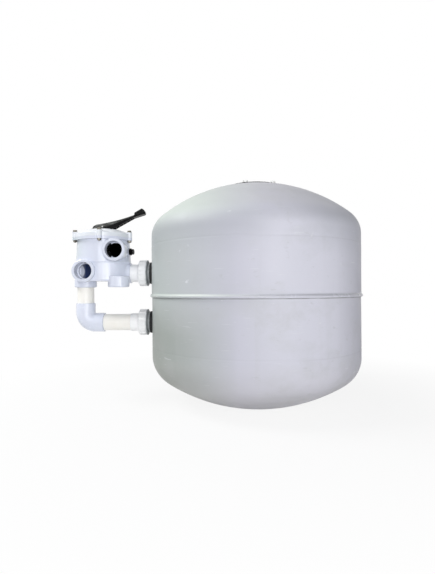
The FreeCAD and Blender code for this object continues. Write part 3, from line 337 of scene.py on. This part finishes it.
def creased(piece, angle):
    """Marks the edges that turn by more than an angle in degrees as sharp, and keeps the rest smooth."""
    piece.data.set_sharp_from_angle(angle=math.radians(angle))
    return piece


def bow(centre, radius, start, end, count):
    """Arc of a profile: the centre, plus the radius times the cosine and sine of an even run of angles."""
    angle = np.radians(np.linspace(start, end, count))
    return np.column_stack((centre[0] + radius * np.cos(angle), centre[1] + radius * np.sin(angle)))


def run(first, last, count):
    """Straight run of a profile, evenly divided."""
    return np.linspace(first, last, count)


print("grid helpers ready")

# %% [markdown]
# ## The tank's two halves
#
# Each half is a wall, a tight knuckle and a wide crown, three curves that meet without a kink. A solid
# shows them as flat facets, so the skins are turned here again from the same sizes, on a grid fine enough
# that the outline stays round. Moulded walls are never quite true: a wave of a few tenths of a millimetre
# bends the highlights without changing the shape. The upper half carries the bead that hides the joint, and
# its lip stands over the lower half by a millimetre and a half. The lower crown is cut level where the tank
# stands, 22 millimetres above where its lowest point would be, and that gives the radius of the foot.

# %% Sizes of the tank
wall = 7.0
seam = 378.0
upper = {"radius": 381.0, "knuckle": 87.0, "crown": 549.0, "tangent": 597.0, "sense": 1}
lower = {"radius": 379.5, "knuckle": 104.0, "crown": 597.0, "tangent": 166.0, "sense": -1}
land, land_radius, mouth_radius, boss_depth = 773.99, 122.0, 85.0, 30.0
foot_sink, foot_step, inner_floor = 22.16, 60, 140
upper_mark, lower_mark = 561, 200


def head(half, inward, end_radius, count=44):
    """Knuckle and crown arcs from the wall to a radius. Their centres follow from a smooth meeting."""
    inset = half["radius"] - half["knuckle"]
    drop = math.sqrt((half["crown"] - half["knuckle"]) ** 2 - inset**2)
    lean = math.degrees(math.atan2(drop, inset))
    knuckle = bow((inset, 0), half["knuckle"] - inward, 0, lean, count // 2)
    crown = half["crown"] - inward
    end = math.degrees(math.acos(end_radius / crown))
    arc = bow((0, -drop), crown, lean, end, count)
    points = np.concatenate((knuckle, arc[1:]))
    return points * (1, half["sense"]) + (0, half["tangent"])


top_end, low_end = head(upper, 0, 1.0)[-1][1], head(lower, 0, 1.0)[-1][1]
print("upper apex", round(top_end, 1), "lower apex", round(low_end, 1))


# %% Turned and waved grids
def turn(profile, columns):
    """Grid of a profile turned round the upright axis: x and y are its radius times cosine and sine."""
    angle = np.linspace(0, 2 * np.pi, columns, endpoint=False)
    radius, height = profile[:, 0, None], profile[:, 1, None]
    flat = np.ones_like(angle)
    return np.stack((radius * np.cos(angle), radius * np.sin(angle), height * flat), axis=-1)


def wavy(points, depth):
    """Moves points inwards along their radius, by up to a depth.

    Three slow waves of angle and height are added, and fade out inside a radius of 150 to 250 millimetres.
    """
    most = 2.2
    x, y, z = points[..., 0], points[..., 1], points[..., 2]
    radius, angle = np.hypot(x, y), np.arctan2(y, x)
    wave = np.sin(3 * angle + 0.011 * z) + 0.7 * np.sin(5 * angle - 0.019 * z + 1.3)
    wave += 0.5 * np.sin(8 * angle + 0.031 * z + 0.4)
    share = np.clip((radius - 150) / 100, 0, 1) * depth / most
    scale = 1 + share * (wave - most) / np.maximum(radius, 1)
    return np.stack((x * scale, y * scale, z), axis=-1)


def ring_mark(radius, height):
    """Shallow groove round the wall: a cosine dip, ten millimetres high and four tenths deep."""
    step = np.linspace(-1, 1, 9)
    return np.column_stack((radius - 0.2 * (1 + np.cos(np.pi * step)), height + 5 * step))


print("profiles can be turned, waved and marked")

# %% Profile of the upper half
outer, inner = upper["radius"], upper["radius"] - wall
bead = [(inner, 0), (383.6, 0), (384.9, 0.5), (386.0, 1.9), (386.5, 4.0)]
bead += [(386.2, 6.2), (385.2, 8.2), (383.6, 9.7), (382.0, 10.8), (381.2, 12.6)]
boss_floor = land - boss_depth
upper_profile = np.concatenate((
    np.array(bead) + (0, seam),
    run((outer, seam + 16), (outer, upper_mark - 11), 14),
    ring_mark(outer, upper_mark),
    run((outer, upper_mark + 11), (outer, 592), 3),
    head(upper, 0, land_radius),
    np.array([(land_radius, land), (mouth_radius, land), (mouth_radius, boss_floor)]),
    np.array([(land_radius, boss_floor)]),
    head(upper, wall, land_radius)[::-1],
    run((inner, 590), (inner, seam + 10), 8),
))
print("upper profile of", len(upper_profile), "points")

# %% Profile of the lower half
base, base_inner = lower["radius"], lower["radius"] - wall
foot = math.sqrt(lower["crown"] ** 2 - (lower["crown"] - foot_sink) ** 2)
lap, lap_height = inner - 0.1, 26
lower_profile = np.concatenate((
    np.array([(0, 0), (foot_step, 0), (2 * foot_step, 0), (foot - 2, 0), (foot, 0.3)]),
    head(lower, 0, foot + 1.5)[::-1],
    run((base, 172), (base, lower_mark - 10), 3),
    ring_mark(base, lower_mark),
    run((base, lower_mark + 10), (base, seam), 14),
    np.array([(lap, seam), (lap, seam + lap_height)]),
    np.array([(lap - wall, seam + lap_height), (lap - wall, seam - lap_height)]),
    np.array([(base_inner, seam - lap_height - 13)]),
    run((base_inner, 330), (base_inner, 170), 8),
    head(lower, wall, inner_floor),
    np.array([(2 * foot_step, wall), (foot_step, wall), (0, wall)]),
))
print("lower profile of", len(lower_profile), "points, foot of radius", round(foot, 1))

# %% Turn the halves
columns, wave_depth = 320, 0.5
tank_upper = skin("tank_upper_half", wavy(turn(upper_profile, columns), wave_depth) * mm, "tank")
tank_lower = skin("tank_lower_half", wavy(turn(lower_profile, columns), wave_depth) * mm, "tank")
for piece, node in ((tank_upper, "tank_upper_shell"), (tank_lower, "tank_lower_shell")):
    creased(piece, 38)
    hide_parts(node)
    print(piece.name, len(piece.data.polygons), "faces")

# %% [markdown]
# ## Tank finish
#
# The tank is a matt, cool grey plastic that has been outdoors. Its broad tones are painted light and shade:
# right of the centre is painted lighter, the side by the valve is painted greener and darker, most of all
# towards its foot, and the far side is painted darker. These are broad masks of the position along the tank
# and of the height.

# %% Tank tones
tank_finish, tree, shader, place = start_finish("weathered grey tank")
along, _, height = axes(tree, place)
drift = ramp(tree, noise(tree, place, 2.4, 2), 0.35, 0.65)
colour = mix(tree, drift, light(192, 192, 204), light(189, 190, 200))
# Painted shade and light: the valve side painted greener and darker, most at its foot, the right painted
# lighter, the far side painted darker.
painted_shade_valve_side = ramp(tree, along, -0.34, -0.08, 1.0, 0.0)
painted_light_right = ramp(tree, along, -0.1, 0.16)
painted_shade_valve_foot = product(tree, painted_shade_valve_side, ramp(tree, height, 0.26, 0.39, 1.0, 0.0))
painted_shade_far_side = ramp(tree, along, 0.22, 0.37, 0.0, 1.0)
colour = coats(
    tree, colour,
    (painted_shade_valve_side, (177, 184, 182)),
    (painted_light_right, (208, 208, 219)),
    (painted_shade_valve_foot, (150, 156, 151)),
    (painted_shade_far_side, (176, 176, 188)),
)
print("four broad tones")

# %% [markdown]
# Over the broad tones lie the small marks of use. Handling and rain leave faint clouds and upright runs,
# grit leaves specks, and what has brushed past leaves level scratches, pale scuffs and grey smudges. Each
# is noise on the object's position, cut off at its own level, so that the marks lie across the seam as real
# ones do.

# %% Marks of use
clouds = ramp(tree, noise(tree, place, 7.0, 6, (1, 1, 1.6), 0.6), 0.5, 0.8, 0.0, 0.45)
runs = ramp(tree, noise(tree, place, 38.0, 3, (1, 1, 0.05)), 0.58, 0.85, 0.0, 0.18)
specks = ramp(tree, noise(tree, place, 420.0, 2), 0.66, 0.75, 0.0, 0.35)
scratches = ramp(tree, noise(tree, place, 60.0, 2, (0.25, 0.25, 4.0), 0.4), 0.7, 0.74, 0.0, 0.35)
scuffs = ramp(tree, noise(tree, place, 24.0, 4, (1, 1, 1.7), 0.5), 0.7, 0.75, 0.0, 0.5)
smudges = ramp(tree, noise(tree, place, 26.0, 8, (0.8, 0.8, 1.5), 0.7), 0.61, 0.72, 0.0, 0.3)
colour = coats(
    tree, colour,
    (clouds, (180, 182, 184)),
    (runs, (178, 180, 180)),
    (specks, (168, 170, 170)),
    (scratches, (214, 216, 220)),
    (scuffs, (222, 223, 228)),
    (smudges, (158, 159, 158)),
)
print("six kinds of mark")

# %% [markdown]
# Dust settles where the skin faces the sky, and soil has splashed on the foot. The rest is painted light and
# shade: the dome is painted darker on one side and painted lighter, pale green, on the other, the shoulder
# under the dome is painted a little darker, apart from a strip in front, and a ragged dark line of painted
# shadow lies under the bead, which is a narrow band of heights.

# %% Dirt, painted light and painted shade
upward = facing_up(tree)
seam_height = seam * mm
dust = ramp(tree, upward, 0.6, 1.0, 0.0, 0.3)
# Painted shade on the right of the dome, and painted light, pale green, on its left.
painted_dome_shade = product(tree, ramp(tree, along, -0.05, 0.3), ramp(tree, upward, 0.02, 0.4))
painted_light_dull_dome = product(tree, ramp(tree, along, -0.22, 0.0, 1.0, 0.0), ramp(tree, upward, 0.1, 0.6))
shoulder = product(tree, ramp(tree, height, 0.5, 0.59), ramp(tree, upward, 0.3, 0.8, 1.0, 0.0))
beside_strip = combine(tree, "ABSOLUTE", combine(tree, "SUBTRACT", along, 0.07))
# Painted shade on the shoulder under the dome, left off a strip in front.
painted_shoulder_shade = product(tree, shoulder, ramp(tree, beside_strip, 0.02, 0.12, 0.0, 0.36))
soil = ramp(tree, height, 0.06, 0.2, 0.25, 0.0)
stains = ramp(tree, noise(tree, place, 5.0, 8, (1, 1, 1), 0.7), 0.56, 0.68, 0.0, 0.24)
# Painted shadow under the bead, a ragged dark line.
under_bead = [seam_height + offset * mm for offset in (-3.5, -0.5, 0.2, 0.8)]
ragged = ramp(tree, noise(tree, place, 30.0, 6), 0.3, 0.6, 0.5, 1.0)
painted_bead_shadow = product(tree, between(tree, height, *under_bead, most=0.75), ragged)
colour = coats(
    tree, colour,
    (dust, (196, 195, 188)),
    (product(tree, painted_dome_shade, 0.8), (166, 167, 176)),
    (product(tree, painted_light_dull_dome, 0.8), (204, 213, 206)),
    (painted_shoulder_shade, (158, 161, 169)),
    (soil, (196, 190, 182)),
    (stains, (170, 170, 170)),
    (painted_bead_shadow, (112, 112, 110)),
)
tree.links.new(colour, shader.inputs["Base Color"])
print("weather and dirt")

# %% [markdown]
# The skin is dull on the whole. Its gloss changes slowly over a few centimetres, the side with the painted
# light on the dome is duller still, and only the bead is polished, because it is what everything rubs
# against. The relief is a fine orange peel and slow ripples, both as bumps.

# %% Tank gloss and relief
on_bead = [seam_height + offset * mm for offset in (1.0, 2.5, 12, 14)]
polished = between(tree, height, *on_bead, most=0.22)
matt = ramp(tree, noise(tree, place, 16.0, 5), 0.3, 0.7, 0.4, 0.54)
matt = sums(tree, (matt, 1.0), (polished, -1.0), (painted_light_dull_dome, 0.2))
tree.links.new(matt, shader.inputs["Roughness"])
shader.inputs["Specular IOR Level"].default_value = 0.42
peel = noise(tree, place, 330.0, 2)
ripple = noise(tree, place, 9.0, 1)
relief(tree, shader, sums(tree, (peel, 0.1), (ripple, 1.0)), 0.9 * mm, 0.5)
for piece in (tank_upper, tank_lower):
    piece.data.materials.append(tank_finish)
print("tank finish with", len(tree.nodes), "nodes")

# %% [markdown]
# ## Moulded white plastics
#
# The valve is a glossy, slightly blue-white moulding, its nuts are a purer white, and the pipes are cream.
# One function makes the family, because they differ in tone, gloss and how worn they are: two close tones
# drift into each other, fine dirt gathers in specks, and the gloss is broken by handling. The solids have
# knife edges, which no mould can make, so the Bevel node rounds what light sees of them. It asks the
# surface nearby for its direction, and needs no extra faces.


# %% A family of mouldings
def moulding(name, pale, deep, gloss, grain=0.2, edge=1.2, dirt=0.3, dirt_tone=(150, 146, 136), shine=0.5,
             waves=1.0, more=None):
    """A moulded plastic: two drifting tones, specks of dirt, uneven gloss, grain and eased edges.

    More is a function of the tree, the place and the colour, for what only one piece has.
    """
    material, tree, shader, place = start_finish(name)
    shader.inputs["Specular IOR Level"].default_value = shine
    drift = ramp(tree, noise(tree, place, 14.0, 3), 0.35, 0.65)
    film = ramp(tree, noise(tree, place, 46.0, 8, (1, 1, 1), 0.65), 0.58, 0.8, 0.0, dirt)
    settled = ramp(tree, facing_up(tree), 0.6, 1.0, 0.0, 0.5 * dirt)
    colour = mix(tree, drift, light(*pale), light(*deep))
    colour = coats(tree, colour, (film, dirt_tone), (settled, dirt_tone))
    if more:
        colour = more(tree, place, colour)
    tree.links.new(colour, shader.inputs["Base Color"])
    wear = ramp(tree, noise(tree, place, 60.0, 6), 0.3, 0.7, gloss - 0.06, gloss + 0.12)
    tree.links.new(wear, shader.inputs["Roughness"])
    fine, slow = noise(tree, place, 900.0, 2), noise(tree, place, 45.0, 1)
    relief(tree, shader, sums(tree, (fine, grain), (slow, waves)), 0.35 * mm, 0.6, eased(tree, edge * mm))
    return material


print("mouldings can be made")

# %% [markdown]
# The valve's pot is painted greyer outside on its side away from the tank, as shade. Its inside, which shows
# through the ports, is painted shade: nearly black in the pot above the seat plate, dark blue in the
# passages under it, and left pale in a ring behind the lower front port as a painted patch of light. The
# masks are the distance from the valve's axis and the height, and the bore of the pump port is a distance
# from that port's axis.

# %% Painted shade inside the valve
valve_x, pot_radius, seat_top = -565 * mm, 91.5 * mm, 500 * mm
pot_heights = [value * mm for value in (440.5, 441.5, 595.5, 596.5)]
ring_radius, ring_height, ring_squash = 95 * mm, 473 * mm, 0.8
port_x, port_height, port_bore = valve_x + 63 * mm, 547 * mm, 27.4 * mm
port_depths = [value * mm for value in (-77.6, -77.2, -40, -30)]


def painted_valve_shade(tree, place, colour):
    """The valve's colour, with painted shade on the side away from the tank, in the pot and in one port's
    bore, and a pale painted patch of light in the pot.
    """
    x, y, z = axes(tree, place)
    # Painted shade: the side away from the tank is greyer.
    painted_side_shade = product(tree, ramp(tree, x, -0.66, -0.59, 0.8, 0.0), ramp(tree, z, 0.51, 0.53))
    colour = coats(tree, colour, (painted_side_shade, (198, 208, 212)))
    radius = distance(tree, combine(tree, "SUBTRACT", x, valve_x), y)
    inside = ramp(tree, radius, pot_radius - 0.2 * mm, pot_radius + 0.2 * mm, 1.0, 0.0)
    above_seat = ramp(tree, z, seat_top, seat_top + 2 * mm)
    behind_mouth = combine(tree, "MAXIMUM", ramp(tree, y, -0.07, -0.045), above_seat)
    ring_up = product(tree, combine(tree, "SUBTRACT", z, ring_height), ring_squash)
    ring = distance(tree, combine(tree, "SUBTRACT", radius, ring_radius), ring_up)
    # Painted light: a pale patch in the pot, inside this ring.
    outside_painted_light_patch = ramp(tree, ring, 0.019, 0.022)
    pot = product(tree, inside, behind_mouth, between(tree, z, *pot_heights), outside_painted_light_patch)
    across, up = combine(tree, "SUBTRACT", x, port_x), combine(tree, "SUBTRACT", z, port_height)
    port = ramp(tree, distance(tree, across, up), port_bore - 0.2 * mm, port_bore + 0.2 * mm, 1.0, 0.0)
    bore = product(tree, port, between(tree, y, *port_depths))
    # Painted shade inside: dark blue under the seat plate, nearly black above it and in the port's bore.
    painted_shade_tone = mix(tree, above_seat, light(52, 66, 108), light(12, 13, 18))
    return mix(tree, combine(tree, "MAXIMUM", pot, bore), colour, painted_shade_tone)


print("stains reach out to", pot_radius, "from the valve's axis")

# %% White plastics
blue_white = {"edge": 1.8, "dirt": 0.08, "waves": 0.35}
valve_finish = moulding("blue-white valve plastic", (221, 225, 239), (217, 222, 237), 0.15,
                        more=painted_valve_shade, **blue_white)
dress(valve_finish, "valve_body")
lid_finish = moulding("blue-white lid plastic", (230, 234, 240), (227, 231, 238), 0.18, **blue_white)
dress(lid_finish, "valve_lid")
elbow_finish = moulding("blue-white fitting plastic", (227, 231, 245), (222, 227, 242), 0.18,
                        edge=1.8, dirt=0.1, waves=0.4)
dress(elbow_finish, "pipe_elbow")
nut_finish = moulding("white nut plastic", (253, 253, 254), (250, 251, 253), 0.28, dirt=0.03)
dress(nut_finish, "upper_union_tailpiece", "lower_union_tailpiece")
print("white mouldings ready")

# %% [markdown]
# ## Pressure pipe
#
# Pipe isn't moulded but drawn out of a die, so its marks run along it: faint lines in tone and in relief.
# Stretching the noise along one axis gives them. The upright piece and the level piece run in different
# directions, so each gets its own copy of the finish. The print that pipe makers put on it is left off.


# %% Pipe finish
def drawn_pipe(name, stretch):
    """A drawn cream plastic pipe, its lines running along the axis whose stretch is small."""
    material, tree, shader, place = start_finish(name)
    drift = ramp(tree, noise(tree, place, 18.0, 3), 0.35, 0.65)
    lines = noise(tree, place, 260.0, 3, stretch)
    colour = mix(tree, drift, light(251, 249, 244), light(247, 244, 237))
    colour = coats(tree, colour, (ramp(tree, lines, 0.5, 0.8, 0.0, 0.25), (232, 228, 219)))
    tree.links.new(colour, shader.inputs["Base Color"])
    gloss = ramp(tree, noise(tree, place, 50.0, 5), 0.3, 0.7, 0.3, 0.46)
    tree.links.new(gloss, shader.inputs["Roughness"])
    relief(tree, shader, lines, 0.2 * mm, 0.5)
    return material


dress(drawn_pipe("upright cream pipe", (1, 1, 0.02)), "vertical_pipe", "riser_pipe", "stand_pipe")
dress(drawn_pipe("level cream pipe", (0.02, 1, 1)), "horizontal_pipe", "inlet_pipe", "outlet_pipe")
print("pipes ready")

# %% [markdown]
# ## Grey fittings, rubber and black plastic
#
# The tank fittings are a plain pale grey, the same family as the valve in another tone. Rubber is dark,
# dull and dusty, and its dust sits in fine pores. The lever and the plug are black plastic with a soft
# shine, and along the lever's upper edge a pale highlight is painted in broken streaks: that edge is a line
# that climbs to the right, and the mask is the height above it.

# %% Fittings and rubber
fitting = moulding("grey fitting plastic", (162, 167, 170), (150, 155, 158), 0.38, dirt=0.3)
dress(fitting, "upper_bulkhead", "lower_bulkhead", "upper_bulkhead_locknut", "lower_bulkhead_locknut")
dress(fitting, "drain_fitting", "drain_locknut", "drain_cap")

rubber, tree, shader, place = start_finish("dusty black rubber")
pores = noise(tree, place, 700.0, 4)
bloom = ramp(tree, noise(tree, place, 40.0, 6), 0.45, 0.75, 0.0, 0.4)
colour = mix(tree, bloom, light(15, 16, 18), light(44, 44, 43))
colour = coats(tree, colour, (ramp(tree, pores, 0.6, 0.75, 0.0, 0.4), (70, 69, 66)))
tree.links.new(colour, shader.inputs["Base Color"])
tree.links.new(ramp(tree, pores, 0.3, 0.7, 0.62, 0.85), shader.inputs["Roughness"])
relief(tree, shader, pores, 0.2 * mm, 0.7, eased(tree, 0.6 * mm))
seals = [name for name in nodes if "gasket" in name or "o_ring" in name]
dress(rubber, *seals)
print(len(seals), "rubber seals")


# %% Black plastics
def painted_edge_highlight(tree, place, colour):
    """The lever's colour, with a painted highlight in broken streaks along its upper edge."""
    climb, foot_of_line = 0.385, 0.858
    x, _, z = axes(tree, place)
    above = sums(tree, (z, 1.0), (x, -climb), (foot_of_line, -1.0))
    # Painted highlight along the lever's upper edge, in broken streaks.
    edge = product(tree, ramp(tree, above, -0.007, -0.003), ramp(tree, x, -0.5, -0.44, 1.0, 0.25))
    broken = ramp(tree, noise(tree, place, 60.0, 8, (0.4, 1.6, 1.2), 0.7), 0.4, 0.68)
    return coats(tree, colour, (product(tree, edge, broken, 0.5), (160, 162, 158)))


deep_black = {"pale": (6, 6, 8), "deep": (9, 9, 11), "grain": 0.15, "edge": 0.8, "dirt": 0.04}
black = moulding("black lever plastic", gloss=0.18, dirt_tone=(48, 47, 45), shine=0.1, **deep_black)
dress(black, "handle_washer", "gauge_port_plug")
lever_black = moulding("black lever plastic with painted highlight", gloss=0.16, dirt_tone=(52, 51, 50), shine=0.04,
                       more=painted_edge_highlight, **deep_black)
dress(lever_black, "handle")
cover = moulding("black cover plastic", (30, 31, 33), (37, 38, 40), 0.5, grain=0.5, edge=1.0, dirt=0.2,
                 dirt_tone=(80, 78, 74), shine=0.06)
dress(cover, "closure_lid", "air_bleed_plug")
print("black plastics ready")

# %% Plastics inside
moving = moulding("dark inner plastic", (34, 36, 40), (44, 46, 50), 0.34, grain=0.3, edge=0.8, dirt=0.1,
                  dirt_tone=(88, 90, 92))
dress(moving, "diverter", "upper_slip_washer", "lower_slip_washer")
inside = moulding("plain inner plastic", (214, 216, 214), (200, 202, 198), 0.42, grain=0.3, edge=0.8,
                  dirt=0.35, dirt_tone=(164, 150, 120))
dress(inside, "inlet_elbow", "outlet_elbow", "inlet_diffuser", "lateral_hub", "laterals")
print("inner plastics ready")

# %% [markdown]
# ## Steel
#
# The bolts are stainless steel: all of its colour is reflection, so what matters is a roughness that
# changes over a few millimetres. The ones in the valve's lid get a darker, browner tint of their own.

# %% Clean steel
steel, tree, shader, place = start_finish("stainless steel")
tone = ramp(tree, noise(tree, place, 120.0, 5), 0.3, 0.7)
colour = mix(tree, tone, light(196, 197, 198), light(160, 160, 158))
browned = ramp(tree, noise(tree, place, 240.0, 6), 0.62, 0.78, 0.0, 0.5)
colour = coats(tree, colour, (browned, (128, 104, 78)))
tree.links.new(colour, shader.inputs["Base Color"])
shader.inputs["Metallic"].default_value = 1.0
tree.links.new(ramp(tree, noise(tree, place, 380.0, 4), 0.3, 0.7, 0.24, 0.46), shader.inputs["Roughness"])
relief(tree, shader, noise(tree, place, 900.0, 3), 0.1 * mm, 0.5, eased(tree, 0.5 * mm))
dress(steel, "closure_washers", "closure_bolts", "handle_pin")
print("steel ready")

# %% Darker brown steel of the lid's bolts
dark_brown_steel, tree, shader, place = start_finish("dark brown steel")
tone = ramp(tree, noise(tree, place, 150.0, 6), 0.35, 0.65)
# A darker and browner steel than the other bolts.
colour = mix(tree, tone, light(146, 143, 134), light(84, 78, 68))
tree.links.new(colour, shader.inputs["Base Color"])
shader.inputs["Metallic"].default_value = 1.0
tree.links.new(ramp(tree, noise(tree, place, 300.0, 4), 0.3, 0.7, 0.3, 0.6), shader.inputs["Roughness"])
relief(tree, shader, noise(tree, place, 700.0, 4), 0.15 * mm, 0.6, eased(tree, 0.5 * mm))
dress(dark_brown_steel, "lid_washers", "lid_bolts", "lid_nuts")
print("stained steel ready")

# %% [markdown]
# ## Union nuts
#
# A union nut is turned by hand, so its outside is a ring of broad lands with narrow grooves between them,
# all eased as they leave the mould. The profile is turned round the pipe's axis, and a land is a cosine of
# twelve turns that is steepened until its top is flat. It is faded out towards both ends of the nut.


# %% Turned grid of a nut
collar_radius = 42.5


def level_turn(profile, columns, height, lands, rise, first, last):
    """Grid of a profile turned round a level axis. Its radius grows where a steepened cosine is high.

    That growth is cut to between nought and one, eased at both ends of the nut, and left off its inside.
    """
    angle = np.linspace(0, 2 * np.pi, columns, endpoint=False)
    radius, along = profile[:, 0, None], profile[:, 1, None]
    land_shape = np.clip(0.95 + 1.9 * np.cos(lands * angle), 0, 1)
    land_shape = land_shape**2 * (3 - 2 * land_shape)
    ends = np.clip((along - first) / 2, 0, 1) * np.clip((last - along) / 2, 0, 1)
    outside = np.clip((radius - collar_radius) / 1.5, 0, 1)
    radius = radius + rise * land_shape * ends * outside
    flat = np.ones_like(angle)
    return np.stack((-along * flat, radius * np.sin(angle), height + radius * np.cos(angle)), axis=-1)


nut_profile = np.concatenate((
    run((41.3, 424.5), (41.3, 400.5), 5),
    np.array([(43.6, 400.5), (44.6, 400.8), (45.5, 401.6), (46, 403)]),
    run((46, 404), (46, 426), 16),
    bow((41.6, 426.5), 4.4, 0, 90, 8),
    np.array([(38, 431), (33.9, 431), (33.3, 430.4), (33.3, 424.5)]),
))
print("nut profile of", len(nut_profile), "points")

# %% Turn the union nuts
upper_port, lower_port = 467, 284
for name, height in (("upper", upper_port), ("lower", lower_port)):
    points = level_turn(nut_profile, 288, height, lands=12, rise=2.1, first=402, last=429.5)
    nut = creased(skin(name + "_union_nut_ribbed", points * mm, "tank"), 50)
    nut.data.materials.append(nut_finish)
    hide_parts(name + "_union_nut")
    print(nut.name, len(nut.data.polygons), "faces")

# %% [markdown]
# ## Diverter spring
#
# The spring under the valve's lid holds the diverter on its seat, and pressing the lever lifts the diverter
# and shortens the spring by eight millimetres. A rigid coil would cut through its washers then, and the coil
# here is such a rigid mesh of its own, carried with the selector. It is a round wire carried along a helix,
# and the wire narrows to a point at both ends, which closes the mesh.


# %% Wind the spring
def coil(radius, wire, turns, low, high):
    """Grid of a wire wound round the valve's axis: the height grows evenly with the angle of the winding."""
    angle = np.linspace(0, 2 * np.pi * turns, int(48 * turns))[:, None]
    around = np.linspace(0, 2 * np.pi, 12, endpoint=False)
    share = angle / angle[-1]
    thick = wire * np.ones_like(angle)
    thick[0] = thick[-1] = 0
    out = radius + thick * np.cos(around)
    height = low + (high - low) * share + thick * np.sin(around)
    return np.stack((valve_x / mm + out * np.cos(angle), out * np.sin(angle), height), axis=-1)


spring_box = [np.array(corner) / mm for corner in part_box("diverter_spring")]
wire, clear = 1.95, 0.05
spring_low, spring_high = spring_box[0][2] + wire + clear, spring_box[1][2] - wire - clear
points = coil(20.5, wire, 5, spring_low, spring_high)
spring = skin("wound_spring", points * mm, "selector", joined=False)
spring.data.materials.append(steel)
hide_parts("diverter_spring")
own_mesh(spring)

# %% [markdown]
# ## Cement at the pipe joints
#
# The loop is glued. When a pipe is pushed home, a little cement is wiped round the joint and sets in a
# thin, uneven collar. Each is a ring whose section swells and shrinks with the sum of three sines of the
# angle.


# %% Cement collars
def collar(name, centre, axis, seed):
    """Uneven ring round a pipe: its centre line is a circle, and its section a small circle that varies."""
    turned = np.linspace(0, 2 * np.pi, 144, endpoint=False)[:, None]
    section = np.linspace(0, 2 * np.pi, 12, endpoint=False)
    thick = 1.0 + 0.3 * np.sin(3 * turned + seed) + 0.2 * np.sin(7 * turned + 2 * seed)
    thick = thick + 0.15 * np.sin(13 * turned + 5 * seed)
    radius = 30.2 + 0.9 * thick * np.cos(section)
    side = 0.7 * thick * np.sin(section)
    ring = [radius * np.cos(turned), radius * np.sin(turned), side]
    if axis == "x":
        ring = [ring[2], ring[0], ring[1]]
    points = np.stack(ring, axis=-1) + np.array(centre)
    return skin(name, points * mm, "tank")


cement = moulding("dried pipe cement", (206, 214, 226), (190, 200, 216), 0.18, grain=0.1, edge=0.3, dirt=0.4)
loop_x = -633
joints = [
    ("foot_cement", (loop_x, 0, 415), "z"),
    ("elbow_top_cement", (loop_x, 0, 355), "z"),
    ("elbow_side_cement", (-562, 0, lower_port), "x"),
    ("tailpiece_cement", (-461, 0, lower_port), "x"),
]
for number, (name, centre, axis) in enumerate(joints):
    piece = collar(name, centre, axis, 1.0 + number)
    piece.data.materials.append(cement)
print(len(joints), "cement collars")

# %% [markdown]
# ## Positions on the lid
#
# The lever chooses one of six passages, so the lid is marked with six places, a sixth of a turn apart. They
# are plain numbers here. A text object gives the shape of a figure, which becomes a mesh and is laid on the
# sloping lid. The lid falls by thirteen degrees where the numbers stand.


# %% Shape of a figure
def figure_mesh(word):
    """Mesh of a raised figure, lying flat and centred."""
    curve = bpy.data.curves.new("place_" + word, "FONT")
    curve.body = word
    curve.size = 15 * mm
    curve.extrude = 0.35 * mm
    curve.bevel_depth = 0.15 * mm
    curve.align_x = "CENTER"
    curve.align_y = "CENTER"
    flat = bpy.data.objects.new("flat", curve)
    bpy.context.scene.collection.objects.link(flat)
    bpy.context.view_layer.update()
    mesh = bpy.data.meshes.new_from_object(flat)
    bpy.data.objects.remove(flat)
    mesh.name = "place_" + word
    return mesh


print("figures can be made")


# %% Numbers
def figure(word, turned, radius, height, slope):
    """A raised number on the lid: tipped to the slope, moved out and turned round the valve's axis."""
    mesh = figure_mesh(word)
    points = np.empty(len(mesh.vertices) * 3)
    mesh.vertices.foreach_get("co", points)
    x, y, z = points.reshape(-1, 3).T
    tip, way = math.radians(slope), math.radians(turned)
    out = radius * mm - y * math.cos(tip) + z * math.sin(tip)
    up = height * mm + y * math.sin(tip) + z * math.cos(tip)
    placed = np.column_stack((
        valve_x + out * math.cos(way) - x * math.sin(way),
        out * math.sin(way) + x * math.cos(way),
        up,
    ))
    mesh.vertices.foreach_set("co", placed.ravel())
    piece = bpy.data.objects.new("place_" + word, mesh)
    bpy.context.scene.collection.objects.link(piece)
    mesh.materials.clear()
    mesh.materials.append(black)
    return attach(piece, "tank")


first_way, ring, lid_height, lid_slope = 8, 64, 627.2, 13
for index in range(6):
    figure(str(index + 1), first_way + 60 * index, ring, lid_height, lid_slope)
print("six numbers")
